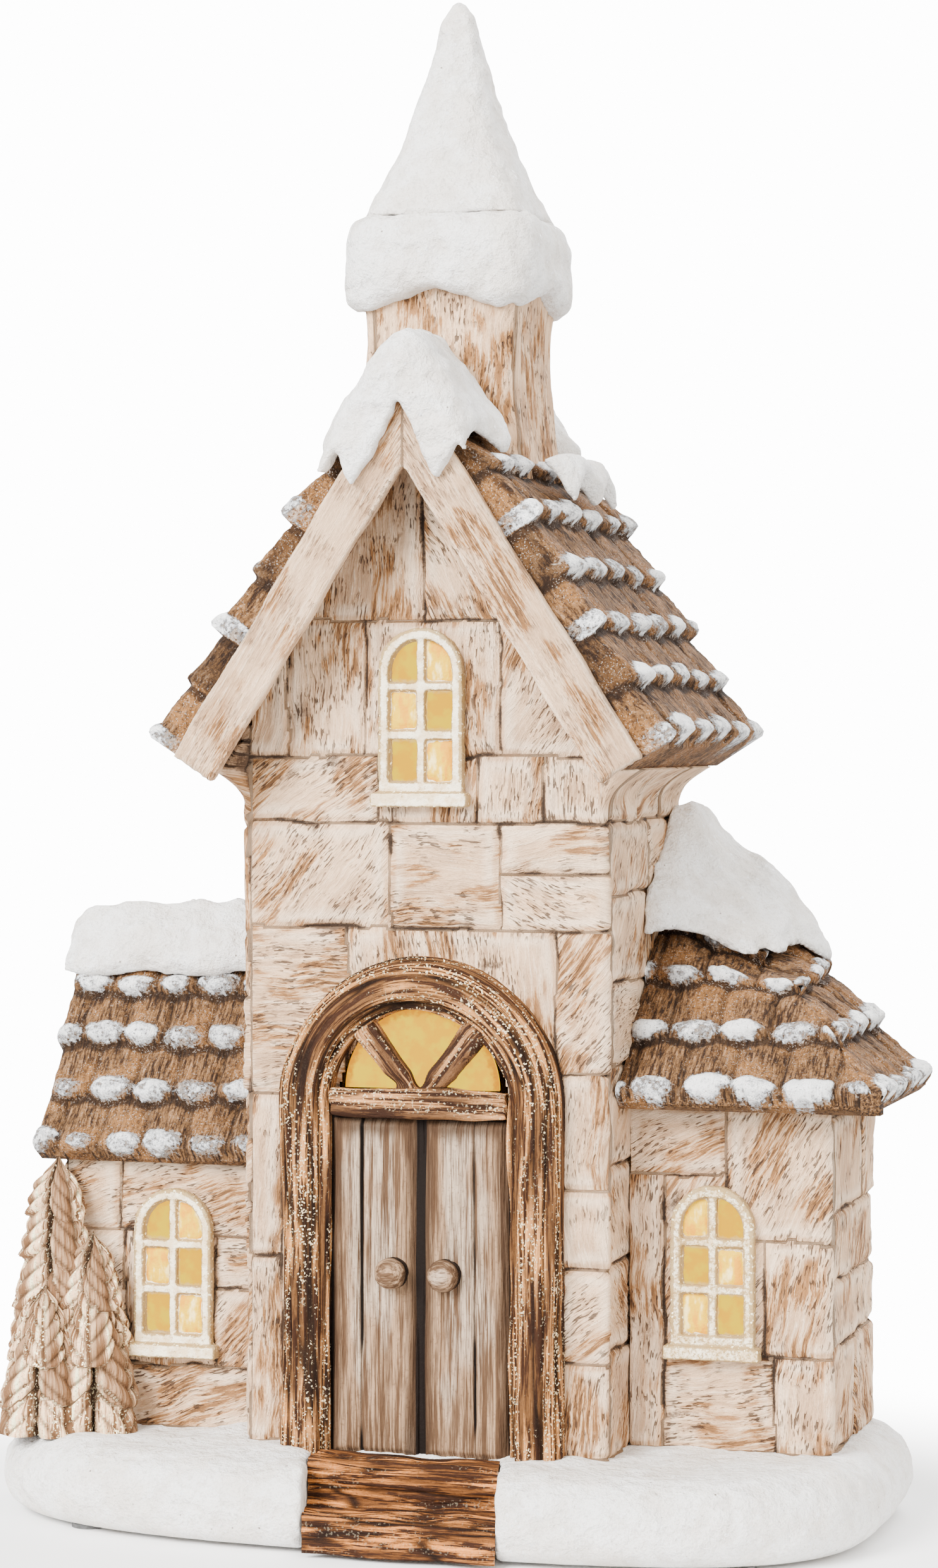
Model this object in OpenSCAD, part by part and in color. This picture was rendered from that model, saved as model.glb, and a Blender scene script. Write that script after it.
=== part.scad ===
// Ceramic Christmas village house: a snowy church-like cottage of fired clay, lit from inside.
// Millimetres, +Z up. The origin is the middle of the footprint, on the surface that it stands on.
// The house looks towards -Y.

/* [Snow base] */
// Width of the snow on the left of the house
left_yard = 14; // [12:0.5:20]
// Width of the snow on the right of the house
right_yard = 15; // [12:0.5:20]
// Depth of the snow behind the house
back_yard = 10; // [9:0.5:14]
// Height of the snow base without its pads
base_h = 18; // [18:0.5:24]
// Rounding of the rim of the snow
base_round = 5; // [3:0.5:7]
// Width of the rim that stands on the pads
rim_w = 13; // [11:0.5:16]
// Thickness of the clay top of the base
base_t = 5; // [4:0.5:6]
// Thickness of a felt pad
pad_t = 1; // [0.6:0.2:2]
// Radius of a felt pad
pad_r = 4; // [3:0.5:4]
// Width of the log path
path_w = 43; // [34:1:48]
// Sideways run of the path from the door to the rim
path_skew = 6; // [0:0.5:10]

/* [Main house] */
// Width of the main house
body_w = 84; // [80:1:90]
// Depth of the main house
body_d = 66; // [62:1:68]
// Depth of the yard before the front wall
yard_d = 28; // [26:0.5:30]
// Thickness of the clay walls
clay_t = 5; // [4:0.25:6]
// Height of the top of the ridge
ridge_z = 258; // [250:1:270]
// Height of the lower edge of the eaves
eave_z = 168; // [160:1:175]
// Pitch of the main roof in degrees
roof_pitch = 57.5; // [55:0.5:60]
// Thickness of the roof with its tiles
roof_t = 9; // [8:0.5:11]
// Rise of the lower tiles of the main roof over the upper ones
roof_swell = 4; // [2:0.5:5]
// Reach of the roof before the front wall
front_over = 12; // [10:0.5:15]
// Reach of the roof behind the back wall
back_over = 8; // [4:0.5:9]
// Width of the coves under the eaves
cove_w = 8; // [6:0.5:9]
// Height of the coves under the eaves
cove_h = 7; // [5:0.5:8]
// Width of a bargeboard
board_w = 10.5; // [9:0.5:12]
// Thickness of a bargeboard
board_t = 3.5; // [2.5:0.5:4.5]

/* [Tiles and snow] */
// Thickness of a roof tile
tile_t = 2.5; // [1.5:0.25:3]
// Width of a tile of the main roof
tile_w = 12.5; // [10:0.5:15]
// Visible length of a tile of the main roof
tile_l = 13; // [11:0.5:15]
// Width of a tile of the wing roofs
wing_tile_w = 10.2; // [8:0.2:12]
// Visible length of a tile of the wing roofs
wing_tile_l = 11.5; // [9:0.5:13]
// Thickness of the snow on the roofs
snow_t = 5; // [3:0.5:7]

/* [Tower] */
// Width of the square tower
tower_w = 34.4; // [30:0.2:36]
// Shift of the tower to the left of the middle of the main house
tower_shift = 1.2; // [0:0.2:2]
// Distance of the tower behind the front wall
tower_back = 14; // [12:0.5:18]
// Height of the top of the tower shaft
tower_z = 277; // [272:1:285]
// Width of the snow cap on the tower
cap_w = 45.5; // [42:0.5:48]
// Height of the snow cap on the tower
cap_h = 21; // [18:0.5:24]
// Width of the spire at its foot
spire_w = 38.5; // [34:0.5:40]
// Height of the spire
spire_h = 50; // [44:1:58]

/* [Left wing] */
// Width of the left wing
left_w = 48; // [42:1:50]
// Depth of the left wing
left_d = 45; // [40:1:48]
// Distance of the left wing behind the front wall
left_back = 10; // [8:0.5:14]
// Height of the ridge of the left wing
left_ridge_z = 131; // [124:1:136]
// Height of the lower edge of the left eaves
left_eave_z = 78; // [76:0.5:84]
// Reach of the left eaves
left_over = 7; // [5:0.5:8]
// Thickness of a wing roof with its tiles
wing_roof_t = 7; // [6:0.5:9]

/* [Right wing] */
// Width of the right wing
right_w = 45; // [41:1:47]
// Distance of the right wing behind the front wall
right_back = 18; // [14:0.5:20]
// Height of the top of the hipped roof
right_top_z = 158; // [150:1:160]
// Height of the lower edge of the right eaves
right_eave_z = 93; // [90:0.5:98]
// Reach of the right eaves to the front
right_over_front = 11; // [8:0.5:12]
// Reach of the right eaves to the side
right_over_side = 11.5; // [9:0.5:14]
// Reach of the right roof behind the back wall
right_over_back = 3; // [1:0.5:6]

/* [Door] */
// Width of the doorway
door_w = 41; // [36:0.5:44]
// Height of the spring of the arch over the base
door_spring = 76; // [70:0.5:80]
// Width of the rounded door surround
trim_w = 11.5; // [9:0.5:13]
// Reach of the door surround before the wall
trim_d = 7; // [5:0.5:9]
// Thickness of a door leaf
leaf_t = 3; // [2:0.25:4]
// Gap between the door leaves
leaf_gap = 1.8; // [1:0.2:3]
// Height of the beam over the doors
beam_h = 6; // [4:0.5:8]
// Width of a spoke of the fanlight
spoke_w = 3.6; // [2.5:0.2:4.5]
// Radius of a door knob
knob_r = 3.5; // [2.5:0.25:4]

/* [Windows] */
// Width of a window frame
win_w = 19.6; // [17:0.2:21]
// Height of a window frame
win_h = 37; // [33:0.5:40]
// Width of the border of a window frame
win_border = 2.2; // [1.6:0.1:2.8]
// Width of a glazing bar
bar_w = 1.7; // [1.2:0.1:2.2]
// Reach of a window frame before the wall
win_d = 2.4; // [1.5:0.2:3]
// Height of a window sill
sill_h = 3; // [2:0.2:4]
// Thickness of the amber film
film_t = 0.5; // [0.3:0.1:0.8]
// Height of the foot of the gable window
gable_win_z = 162; // [158:0.5:166]
// Height of the foot of the left window
left_win_z = 37; // [32:0.5:42]
// Height of the foot of the right window
right_win_z = 41; // [36:0.5:46]

/* [Light unit] */
// Diameter of a battery cell
cell_dia = 10.5; // [10.5:0.1:10.7]
// Length of a battery cell
cell_l = 44.5; // [44:0.1:45]
// Wall of the battery box
box_t = 1.6; // [1.2:0.1:2]
// Width of the bay for the timer board
board_bay_w = 22; // [18:0.5:26]
// Radius of the lamp post
post_r = 5.5; // [4.5:0.25:6.5]
// Height of the top of the lamp post
post_z = 172; // [160:1:178]
// Radius of a light emitting diode
led_r = 2.5; // [1.5:0.1:2.5]
// Travel of the switch slider
switch_travel = 4; // [2:0.5:5]
// Radius of the shank of the cover screw
screw_r = 1; // [0.8:0.1:1.2]

/* [Hidden] */

// Smoothness of round pieces, and how far a cut runs past what it cuts
$fn = 48;
cut = 1;
// Clearance of a piece that lies in or on another one
fit = 0.1;

// Places worked out from the sizes
base_w = left_yard + left_w + body_w + right_w + right_yard;
base_d = yard_d + body_d + back_yard;
body_x = -base_w / 2 + left_yard + left_w + body_w / 2;
base_top = pad_t + base_h;
front_y = -base_d / 2 + yard_d;
back_y = front_y + body_d;
left_x = body_x - body_w / 2;
right_x = body_x + body_w / 2;
roof_front = front_y - front_over;
roof_back = back_y + back_over;
roof_len = roof_back - roof_front;
slope = tan(roof_pitch);
soffit_z = ridge_z - roof_t / cos(roof_pitch);
plate_z = ridge_z - tile_t / cos(roof_pitch);
tower_mid = front_y + tower_back + tower_w / 2;
tower_x = body_x - tower_shift;

// Points of a ring that is a rounded rectangle, with its own depth and squareness front and back
function ring(x, y, z, half_w, front, back, square_front, square_back, count) =
  [for (i = [0:count - 1])
    let (
      c = cos(360 * i / count),
      s = sin(360 * i / count),
      power = 2 / (s < 0 ? square_front : square_back),
      reach = s < 0 ? front : back
    )
    [x + half_w * sign(c) * pow(abs(c), power), y + reach * sign(s) * pow(abs(s), power), z]];

// A closed solid through rings that are stacked upwards
module loft(rings) {
  n = len(rings[0]);
  last = len(rings) - 1;
  middle_low = [for (k = [0:2]) [for (p = rings[0]) p[k]] * [for (p = rings[0]) 1] / n];
  middle_high = [for (k = [0:2]) [for (p = rings[last]) p[k]] * [for (p = rings[0]) 1] / n];
  low = n * (last + 1);
  sides = [for (k = [0:last - 1], i = [0:n - 1])
    let (a = k * n + i, b = k * n + (i + 1) % n)
    each [[a, a + n, b + n], [a, b + n, b]]];
  caps = [for (i = [0:n - 1])
    let (j = (i + 1) % n)
    each [[low, i, j], [low + 1, last * n + j, last * n + i]]];
  polyhedron(points = concat([for (r = rings) each r], [middle_low, middle_high]),
    faces = concat(sides, caps));
}

// A closed sheet between an upper and an under grid of points
module blanket(upper, under) {
  rows = len(upper);
  cols = len(upper[0]);
  shift = rows * cols;
  skin = [for (a = [0:rows - 2], b = [0:cols - 2])
    let (p = a * cols + b, q = p + cols, s = p + shift, t = q + shift)
    each [[p, p + 1, q + 1], [p, q + 1, q], [s, t + 1, s + 1], [s, t, t + 1]]];
  long_edges = [for (a = [0:rows - 2])
    let (p = a * cols, q = p + cols, u = p + cols - 1, v = q + cols - 1)
    each [[p, q, q + shift], [p, q + shift, p + shift],
      [v, u, u + shift], [v, u + shift, v + shift]]];
  short_edges = [for (b = [0:cols - 2])
    let (p = b, q = (rows - 1) * cols + b)
    each [[p + 1, p, p + shift], [p + 1, p + shift, p + 1 + shift],
      [q, q + 1, q + 1 + shift], [q, q + 1 + shift, q + shift]]];
  polyhedron(points = concat([for (r = upper) each r], [for (r = under) each r]),
    faces = concat(skin, long_edges, short_edges));
}

// How full a rounded edge is at a share of the way across, from 0 at both edges to 1 between
function swell(share, edge_share) =
  let (d = min(share, 1 - share) / edge_share)
  d >= 1 ? 1 : sqrt(1 - (1 - d) * (1 - d));

// Moves a drawing of a wall front, with its height upwards, onto a plane that looks to -Y
module on_front(y) {
  translate([0, y, 0]) rotate([90, 0, 0]) children();
}

// One course of tiles in its roof plane: x along the eaves, y down the slope, with pointed tips
tip_shares = [[0.04, -0.3], [0.2, -0.08], [0.5, 0.06], [0.8, -0.08], [0.96, -0.3]];
module course(length, width, reach) {
  count = max(1, round(length / width));
  each_w = length / count;
  tips = [for (i = [0:count - 1], p = tip_shares) [(i + p[0]) * each_w, reach + p[1] * width]];
  linear_extrude(tile_t)
    polygon(concat([[0, 0]], [[0, tips[0][1]]], tips, [[length, tips[0][1]], [length, 0]]));
}

// Courses of tiles down a slope, each lifted at its lower edge and lapped over the next one
lap_share = 0.12;
module courses(length, width, reach, run) {
  count = max(1, round(run / reach));
  each_l = run / count;
  lift = asin(tile_t / each_l);
  for (k = [0:count - 1])
    translate([0, k * each_l, 0])
      rotate([lift, 0, 0])
        translate([0, -each_l * lap_share, -tile_t]) course(length, width, each_l * (1 + lap_share));
}

// The snow base: a hollow slab with a collar that the battery box hangs in
base_shares = [[0, 1], [0.12, 0.35], [0.34, 0], [0.62, 0.12], [0.82, 0.5], [0.94, 1.05], [1, 1.7]];
back_inset_share = 0.45;
base_points = 72;
square_front = 2.8;
square_back = 8;
module base_slab() {
  color("white") difference() {
    loft([for (s = base_shares)
      ring(0, 0, pad_t + s[0] * base_h, base_w / 2 - s[1] * base_round, base_d / 2 - s[1] * base_round,
        base_d / 2 - s[1] * base_round * back_inset_share, square_front, square_back, base_points)]);
    difference() {
      translate([0, 0, -cut]) linear_extrude(cut + base_top - base_t)
        polygon([for (p = ring(0, 0, 0, base_w / 2 - rim_w, base_d / 2 - rim_w, base_d / 2 - rim_w,
          square_front, square_back, base_points)) [p[0], p[1]]]);
      translate([box_x0 - collar_t, box_y0 - collar_t, pad_t + box_t])
        cube([box_w + 2 * collar_t, box_l + 2 * collar_t, base_h]);
      path_block(clay_t);
    }
    translate([box_x0 - fit, box_y0 - fit, -cut]) cube([box_w + 2 * fit, box_l + 2 * fit, base_h + 3 * cut]);
    path_block(0);
  }
}

// Plan of the path, wider by a margin, as high as the base
path_back = 2.5;
path_front = base_d / 2;
module path_block(margin) {
  y0 = -path_front - cut;
  y1 = front_y - path_back + margin;
  shift = path_skew * (y1 - y0) / (yard_d - path_back);
  translate([0, 0, -cut]) linear_extrude(base_top + 2 * cut)
    polygon([[body_x - path_w / 2 - path_skew / 2 - margin, y1],
      [body_x - path_w / 2 - path_skew / 2 - margin + shift, y0],
      [body_x + path_w / 2 - path_skew / 2 + margin + shift, y0],
      [body_x + path_w / 2 - path_skew / 2 + margin, y1]]);
}

// Two half logs that step down from the door to the rim of the snow
step_round = 2.4;
module path_steps() {
  depth = (path_front + front_y - path_back) / 2;
  low_z = pad_t + base_h * 0.5;
  color("sienna") intersection() {
    translate([-base_w / 2, 0, 0]) rotate([90, 0, 90]) linear_extrude(base_w) union() {
      log_step(front_y - path_back, -path_front + depth, base_top - fit);
      log_step(-path_front + depth + cut, -path_front, low_z);
    }
    path_block(-fit);
  }
}

// Section of a half log with a rounded nose
module log_step(y_back, y_nose, z_top) {
  polygon([[y_back, pad_t], [y_back, z_top], [y_nose + step_round, z_top], [y_nose + step_round, pad_t]]);
  translate([y_nose + step_round, z_top - step_round]) circle(step_round);
  translate([y_nose, pad_t]) square([step_round, z_top - step_round - pad_t]);
}

// Felt pads under the rim
module foot_pads() {
  inset = (rim_w + base_round) / 2;
  places = ring(0, 0, 0, base_w / 2 - inset, base_d / 2 - inset, base_d / 2 - inset, square_front,
    square_back, 8);
  color("dimgray") for (k = [1:2:7]) translate(places[k]) cylinder(h = pad_t, r = pad_r);
}

// Front view of the main walls, up to the underside of the roof
module gable_outline() {
  half = body_w / 2;
  cove_z = eave_z - cove_h;
  side = [[half, base_top], [half, cove_z], [half + cove_w * 0.35, cove_z + cove_h * 0.75],
    [half + cove_w, eave_z], [(soffit_z - eave_z) / slope, eave_z]];
  polygon(concat(side, [[0, soffit_z]], [for (i = [len(side) - 1:-1:0]) [-side[i][0], side[i][1]]]));
}

// Mortar joints of the front wall, as shares of its half width and of its height over the base
joint_w = 1.1;
joint_t = 0.7;
level_shares = [[-0.95, 0.95, 0.1], [-0.95, -0.4, 0.335], [0.76, 0.95, 0.335], [-0.98, 0.98, 0.51],
  [-0.98, 0.98, 0.616], [-0.9, 0.9, 0.678], [-0.6, 0.5, 0.81]];
upright_shares = [[0, 0.81, 0.94], [-0.34, 0.678, 0.81], [0.44, 0.678, 0.81], [0.66, 0.616, 0.678],
  [-0.2, 0.51, 0.616], [0.42, 0.51, 0.616], [-0.42, 0.4, 0.51], [0.72, 0.4, 0.51]];
wall_run = soffit_z - base_top;
module front_joints() {
  for (j = level_shares)
    translate([body_x + j[0] * body_w / 2, front_y - cut, base_top + j[2] * wall_run])
      cube([(j[1] - j[0]) * body_w / 2, cut + joint_t, joint_w]);
  for (j = upright_shares)
    translate([body_x + j[0] * body_w / 2, front_y - cut, base_top + j[1] * wall_run])
      cube([joint_w, cut + joint_t, (j[2] - j[1]) * wall_run]);
}

// The hollow main house, open inside into both wings
side_door_h = 44;
module main_walls() {
  color("wheat") difference() {
    translate([body_x, back_y, 0]) rotate([90, 0, 0]) linear_extrude(body_d) gable_outline();
    translate([left_x + clay_t, front_y + clay_t, base_top - cut])
      cube([body_w - 2 * clay_t, body_d - 2 * clay_t, ridge_z]);
    translate([body_x, 0, gable_win_z]) on_front(front_y + clay_t + cut)
      linear_extrude(clay_t + 2 * cut) arch(win_w - 2 * win_border, win_h - 2 * win_border, win_border);
    translate([body_x, 0, fan_z]) on_front(front_y + clay_t + cut)
      linear_extrude(clay_t + 2 * cut) half_disc(fan_r);
    translate([left_x - cut, front_y + left_back + 2 * clay_t, base_top - cut])
      cube([clay_t + 2 * cut, left_d - 4 * clay_t, side_door_h]);
    translate([right_x - clay_t - cut, front_y + right_back + 2 * clay_t, base_top - cut])
      cube([clay_t + 2 * cut, body_d - right_back - 4 * clay_t, side_door_h]);
    front_joints();
  }
}

// An arched outline that stands on y = foot, and the upper half of a disc
module arch(width, height, foot = 0) {
  translate([-width / 2, foot]) square([width, height - width / 2]);
  translate([0, foot + height - width / 2]) circle(width / 2);
}
module half_disc(r) {
  intersection() {
    circle(r);
    translate([-r, 0]) square([2 * r, r]);
  }
}

// Places of the left wing
left_y0 = front_y + left_back;
left_mid = left_y0 + left_d / 2;
left_half = left_d / 2 + left_over;
left_slope = (left_ridge_z - left_eave_z - 2 * tile_t) / left_half;
left_pitch = atan(left_slope);
left_plate_z = left_ridge_z - tile_t / cos(left_pitch);
left_soffit_z = left_ridge_z - wing_roof_t / cos(left_pitch);
left_end = 3;

// A tent outline: a ridge over two feet
module tent(half, foot_z, top_z, pitch_slope) {
  edge_z = top_z - half * pitch_slope;
  polygon([[-half, foot_z], [half, foot_z], [half, edge_z], [0, top_z], [-half, edge_z]]);
}

module left_wing_walls() {
  color("wheat") difference() {
    translate([left_x - left_w, left_mid, 0]) rotate([90, 0, 90])
      linear_extrude(left_w) tent(left_d / 2, base_top, left_soffit_z, left_slope);
    translate([left_x - left_w + clay_t, left_y0 + clay_t, base_top - cut])
      cube([left_w, left_d - 2 * clay_t, left_ridge_z]);
    translate([left_win_x, 0, left_win_z]) on_front(left_y0 + clay_t + cut)
      linear_extrude(clay_t + 2 * cut) arch(win_w - 2 * win_border, win_h - 2 * win_border, win_border);
  }
}

// Places of the right wing: a quarter pyramid leans on the side of the house
right_y0 = front_y + right_back;
right_x1 = right_x + right_w;
right_front = right_y0 - right_over_front;
right_side = right_x1 + right_over_side;
right_rear = back_y + right_over_back;
right_rise = right_top_z - right_eave_z - wing_roof_t;
right_slope_y = right_rise / (right_rear - right_front);
right_slope_x = right_rise / (right_side - right_x);
right_pitch_y = atan(right_slope_y);
right_pitch_x = atan(right_slope_x);

// The space under the two slopes of the quarter pyramid, lowered by a height
module right_hip(drop, x0, foot_z) {
  top_z = right_top_z - drop;
  intersection() {
    translate([x0, 0, 0]) rotate([90, 0, 90]) linear_extrude(right_side - x0)
      polygon([[right_front, foot_z], [right_rear, foot_z], [right_rear, top_z],
        [right_front, top_z - right_rise]]);
    translate([0, right_rear, 0]) rotate([90, 0, 0]) linear_extrude(right_rear - right_front)
      polygon([[x0, foot_z], [right_side, foot_z], [right_side, top_z - right_rise],
        [x0, top_z - (x0 - right_x) * right_slope_x]]);
  }
}

module right_wing_walls() {
  plate_drop = wing_roof_t / cos(right_pitch_x);
  color("wheat") difference() {
    intersection() {
      right_hip(plate_drop, right_x, base_top);
      translate([right_x, right_y0, base_top])
        cube([right_w, body_d - right_back, right_top_z]);
    }
    translate([right_x - cut, right_y0 + clay_t, base_top - cut])
      cube([right_w - clay_t + cut, body_d - right_back - 2 * clay_t, right_top_z]);
    translate([right_win_x, 0, right_win_z]) on_front(right_y0 + clay_t + cut)
      linear_extrude(clay_t + 2 * cut) arch(win_w - 2 * win_border, win_h - 2 * win_border, win_border);
  }
}

// The main roof: a plate over both slopes with courses of tiles
swell_share = 0.5;
module main_roof() {
  inner = (soffit_z - eave_z) / slope;
  end_x = inner + (roof_t - tile_t) * sin(roof_pitch);
  end_z = eave_z + (roof_t - tile_t) * cos(roof_pitch);
  run = (plate_z - end_z) / sin(roof_pitch);
  rows = max(2, round(run / tile_l));
  start = ceil(rows * swell_share) * run / rows;
  color("saddlebrown") union() {
    translate([body_x, roof_back, 0]) rotate([90, 0, 0]) linear_extrude(roof_len)
      polygon([[0, plate_z], [end_x, end_z], [inner, eave_z], [0, soffit_z], [-inner, eave_z],
        [-end_x, end_z]]);
    for (side = [0, 1])
      translate([body_x, roof_back, plate_z]) mirror([side, 0, 0])
        rotate([0, roof_pitch, 0]) rotate([0, 0, -90]) {
          courses(roof_len, tile_w, tile_l, start);
          translate([0, start, roof_swell]) courses(roof_len, tile_w, tile_l, run - start);
          translate([0, start, -cut]) cube([roof_len, run - start, roof_swell + cut]);
        }
  }
}

module left_roof() {
  length = left_w + left_end;
  outer = (left_plate_z - left_eave_z) / left_slope;
  inner = (left_soffit_z - left_eave_z) / left_slope;
  color("saddlebrown") union() {
    translate([left_x - length, left_mid, 0]) rotate([90, 0, 90]) linear_extrude(length)
      polygon([[0, left_plate_z], [outer, left_eave_z], [inner, left_eave_z], [0, left_soffit_z],
        [-inner, left_eave_z], [-outer, left_eave_z]]);
    for (side = [0, 1])
      translate([left_x, left_mid, left_plate_z]) mirror([0, side, 0])
        rotate([left_pitch, 0, 0]) rotate([0, 0, 180])
          courses(length, wing_tile_w, wing_tile_l, outer / cos(left_pitch));
  }
}

// The courses of both slopes lap over the hip by a little
hip_lap = 1.3;

// A tall prism over one side of the hip, moved sideways: side is -1 for the front and 1 for the side
module hip_half(shift, side) {
  run = [right_side - right_x, right_front - right_rear];
  across = [-run[1], run[0]] / norm(run);
  apex = [right_x + shift, right_rear];
  high = apex - run;
  low = apex + 2 * run;
  far = side * across * norm(run) * 2;
  linear_extrude(right_top_z + tile_l) intersection() {
    polygon([high, low, low + far, high + far]);
    translate([right_x, right_front - base_d]) square([base_w, right_rear - right_front + base_d]);
  }
}

// The right roof: each slope has its own courses, which lap over the hip
module right_roof() {
  tile_drop = tile_t / cos(right_pitch_x);
  plate_drop = wing_roof_t / cos(right_pitch_x);
  length_x = right_side - right_x;
  length_y = right_rear - right_front;
  color("saddlebrown") union() {
    difference() {
      right_hip(tile_drop, right_x, right_eave_z);
      right_hip(plate_drop, right_x - cut, 0);
    }
    intersection() {
      translate([right_side, right_rear, right_top_z - tile_drop])
        rotate([right_pitch_y, 0, 0]) rotate([0, 0, 180])
          courses(length_x + cut, wing_tile_w, wing_tile_l, length_y / cos(right_pitch_y));
      hip_half(hip_lap, -1);
    }
    intersection() {
      translate([right_x, right_rear + cut, right_top_z - tile_drop])
        rotate([0, right_pitch_x, 0]) rotate([0, 0, -90])
          courses(length_y + cut, wing_tile_w, wing_tile_l, length_x / cos(right_pitch_x));
      hip_half(-hip_lap * 0.6, 1);
    }
  }
}

// Two boards that close the front of the roof, with a deep underside
board_drop = 3;
module bargeboards() {
  foot = eave_z - board_drop;
  tip_z = foot + board_w * cos(roof_pitch);
  outer_z = plate_z;
  inner_z = plate_z - board_w / cos(roof_pitch);
  color("bisque") translate([body_x, roof_front, 0]) rotate([90, 0, 0]) linear_extrude(board_t)
    polygon([[0, outer_z], [(outer_z - tip_z) / slope, tip_z], [(inner_z - foot) / slope, foot],
      [0, inner_z], [-(inner_z - foot) / slope, foot], [-(outer_z - tip_z) / slope, tip_z]]);
}

// The skin of the main roof: a plane that touches the tips of its tiles
skin_share = 1.2;
skin_z = plate_z + skin_share * tile_t / cos(roof_pitch);

// The square tower, hollow, which rides on the ridge
tower_points = 40;
tower_square = 9;
tower_shares = [[0, 1.07], [0.3, 1.035], [0.5, 1.005], [1, 1]];
module tower_shaft() {
  foot_z = ridge_z - tower_w;
  half = tower_w / 2;
  color("bisque") difference() {
    loft([for (s = tower_shares)
      ring(tower_x, tower_mid, foot_z + s[0] * (tower_z - foot_z), half * s[1], half * s[1], half * s[1],
        tower_square, tower_square, tower_points)]);
    translate([body_x, tower_mid + tower_w, 0]) rotate([90, 0, 0]) linear_extrude(2 * tower_w)
      polygon([[0, skin_z], [2 * tower_w, skin_z - 2 * tower_w * slope],
        [-2 * tower_w, skin_z - 2 * tower_w * slope]]);
    translate([tower_x - half + clay_t, tower_mid - half + clay_t, foot_z - cut])
      cube([tower_w - 2 * clay_t, tower_w - 2 * clay_t, tower_z - foot_z - clay_t]);
  }
}

// The snow cap hangs over the top of the shaft, lowest at its corners
cap_drop = 7;
drip = 5;
cap_shares = [[0, 0.9, 1], [0.1, 0.98, 0.8], [0.35, 1, 0.2], [0.75, 0.985, 0], [0.92, 0.93, 0],
  [1, 0.84, 0]];
module tower_cap() {
  low = tower_z - cap_drop;
  color("white") difference() {
    loft([for (s = cap_shares)
      [for (p = ring(tower_x, tower_mid, low + s[0] * cap_h, s[1] * cap_w / 2, s[1] * cap_w / 2,
          s[1] * cap_w / 2, tower_square / 2, tower_square / 2, tower_points))
        let (turn = atan2(p[1] - tower_mid, p[0] - tower_x))
        p + [0, 0, s[2] * drip * (1 + cos(4 * turn)) / 2]]]);
    translate([tower_x - tower_w / 2 - fit, tower_mid - tower_w / 2 - fit, low - cut])
      cube([tower_w + 2 * fit, tower_w + 2 * fit, cap_drop + cut]);
  }
}

// The spire, a soft four-sided point that hollows towards its foot
spire_shares = [[0, 1, 5], [0.08, 0.9, 4.5], [0.2, 0.75, 4], [0.37, 0.58, 3.6], [0.55, 0.43, 3.2],
  [0.78, 0.26, 2.8], [0.92, 0.17, 2.4], [0.975, 0.1, 2], [1, 0.03, 2]];
module spire() {
  low = tower_z - cap_drop + cap_h;
  color("white") loft([for (s = spire_shares)
    ring(tower_x, tower_mid, low + s[0] * spire_h, s[1] * spire_w / 2, s[1] * spire_w / 2,
      s[1] * spire_w / 2, s[2], s[2], tower_points)]);
}

// Snow over a ridge that runs along y at x = 0. rise is how far down each slope it reaches, as
// functions of the share of the way from y0 to y1.
edge_t = 0.6;
ridge_blend = 7;
snow_edge_share = 0.3;
module ridge_snow(pitch, top_z, y0, y1, low, high, rows, cols) {
  function at(s, y, out) =
    let (lean = pitch * max(-1, min(1, s / ridge_blend)))
    [s * cos(pitch) + out * sin(lean), y, top_z - abs(s) * sin(pitch) + out * cos(lean)];
  function down(a, b) = low(b / cols) + (high(b / cols) - low(b / cols)) * a / rows;
  function along(b) = y0 + (y1 - y0) * b / cols;
  blanket(
    [for (a = [0:rows]) [for (b = [0:cols])
      at(down(a, b), along(b), fit + edge_t
        + (snow_t - edge_t) * swell(a / rows, snow_edge_share) * swell(b / cols, snow_edge_share))]],
    [for (a = [0:rows]) [for (b = [0:cols]) at(down(a, b), along(b), fit)]]);
}

// Lobes along the edge of the snow: a reach that swings between shares of itself
function lobes(reach, depth, count, phase) =
  function (share) reach * (1 + depth * cos(360 * count * share + phase));

// Snow on the front of the ridge, with a lip that hangs down before the bargeboards
gable_reach = 31;
lip_h = 9;
lip_t = 3;
module gable_snow() {
  y0 = roof_front - board_t;
  y1 = tower_mid - tower_w / 2 * tower_shares[0][1] - fit;
  color("white") translate([body_x, 0, 0]) union() {
    ridge_snow(roof_pitch, skin_z, y0 - lip_t, y1, lobes(-gable_reach, 0.16, 1, 0),
      lobes(gable_reach, 0.12, 1.4, 40), 20, 10);
    translate([0, y0 - fit, 0]) rotate([90, 0, 0]) linear_extrude(lip_t - fit) lip_outline();
  }
}

// Front view of the lip: two lobes over the tops of the boards, with a notch between them
module lip_outline() {
  top = skin_z + (fit + edge_t / 2) / cos(roof_pitch);
  reach = gable_reach * cos(roof_pitch) * 0.93;
  depth = lip_h / cos(roof_pitch);
  polygon([[0, top], [reach, top - reach * slope], [reach * 0.93, top - reach * slope - lip_h / 2],
    [reach * 0.75, top - reach * 0.78 * slope - depth * 0.95], [0, top - depth * 0.85],
    [-reach * 0.8, top - reach * 0.83 * slope - depth * 0.8],
    [-reach * 0.96, top - reach * slope - lip_h / 2], [-reach, top - reach * slope]]);
}

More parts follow.
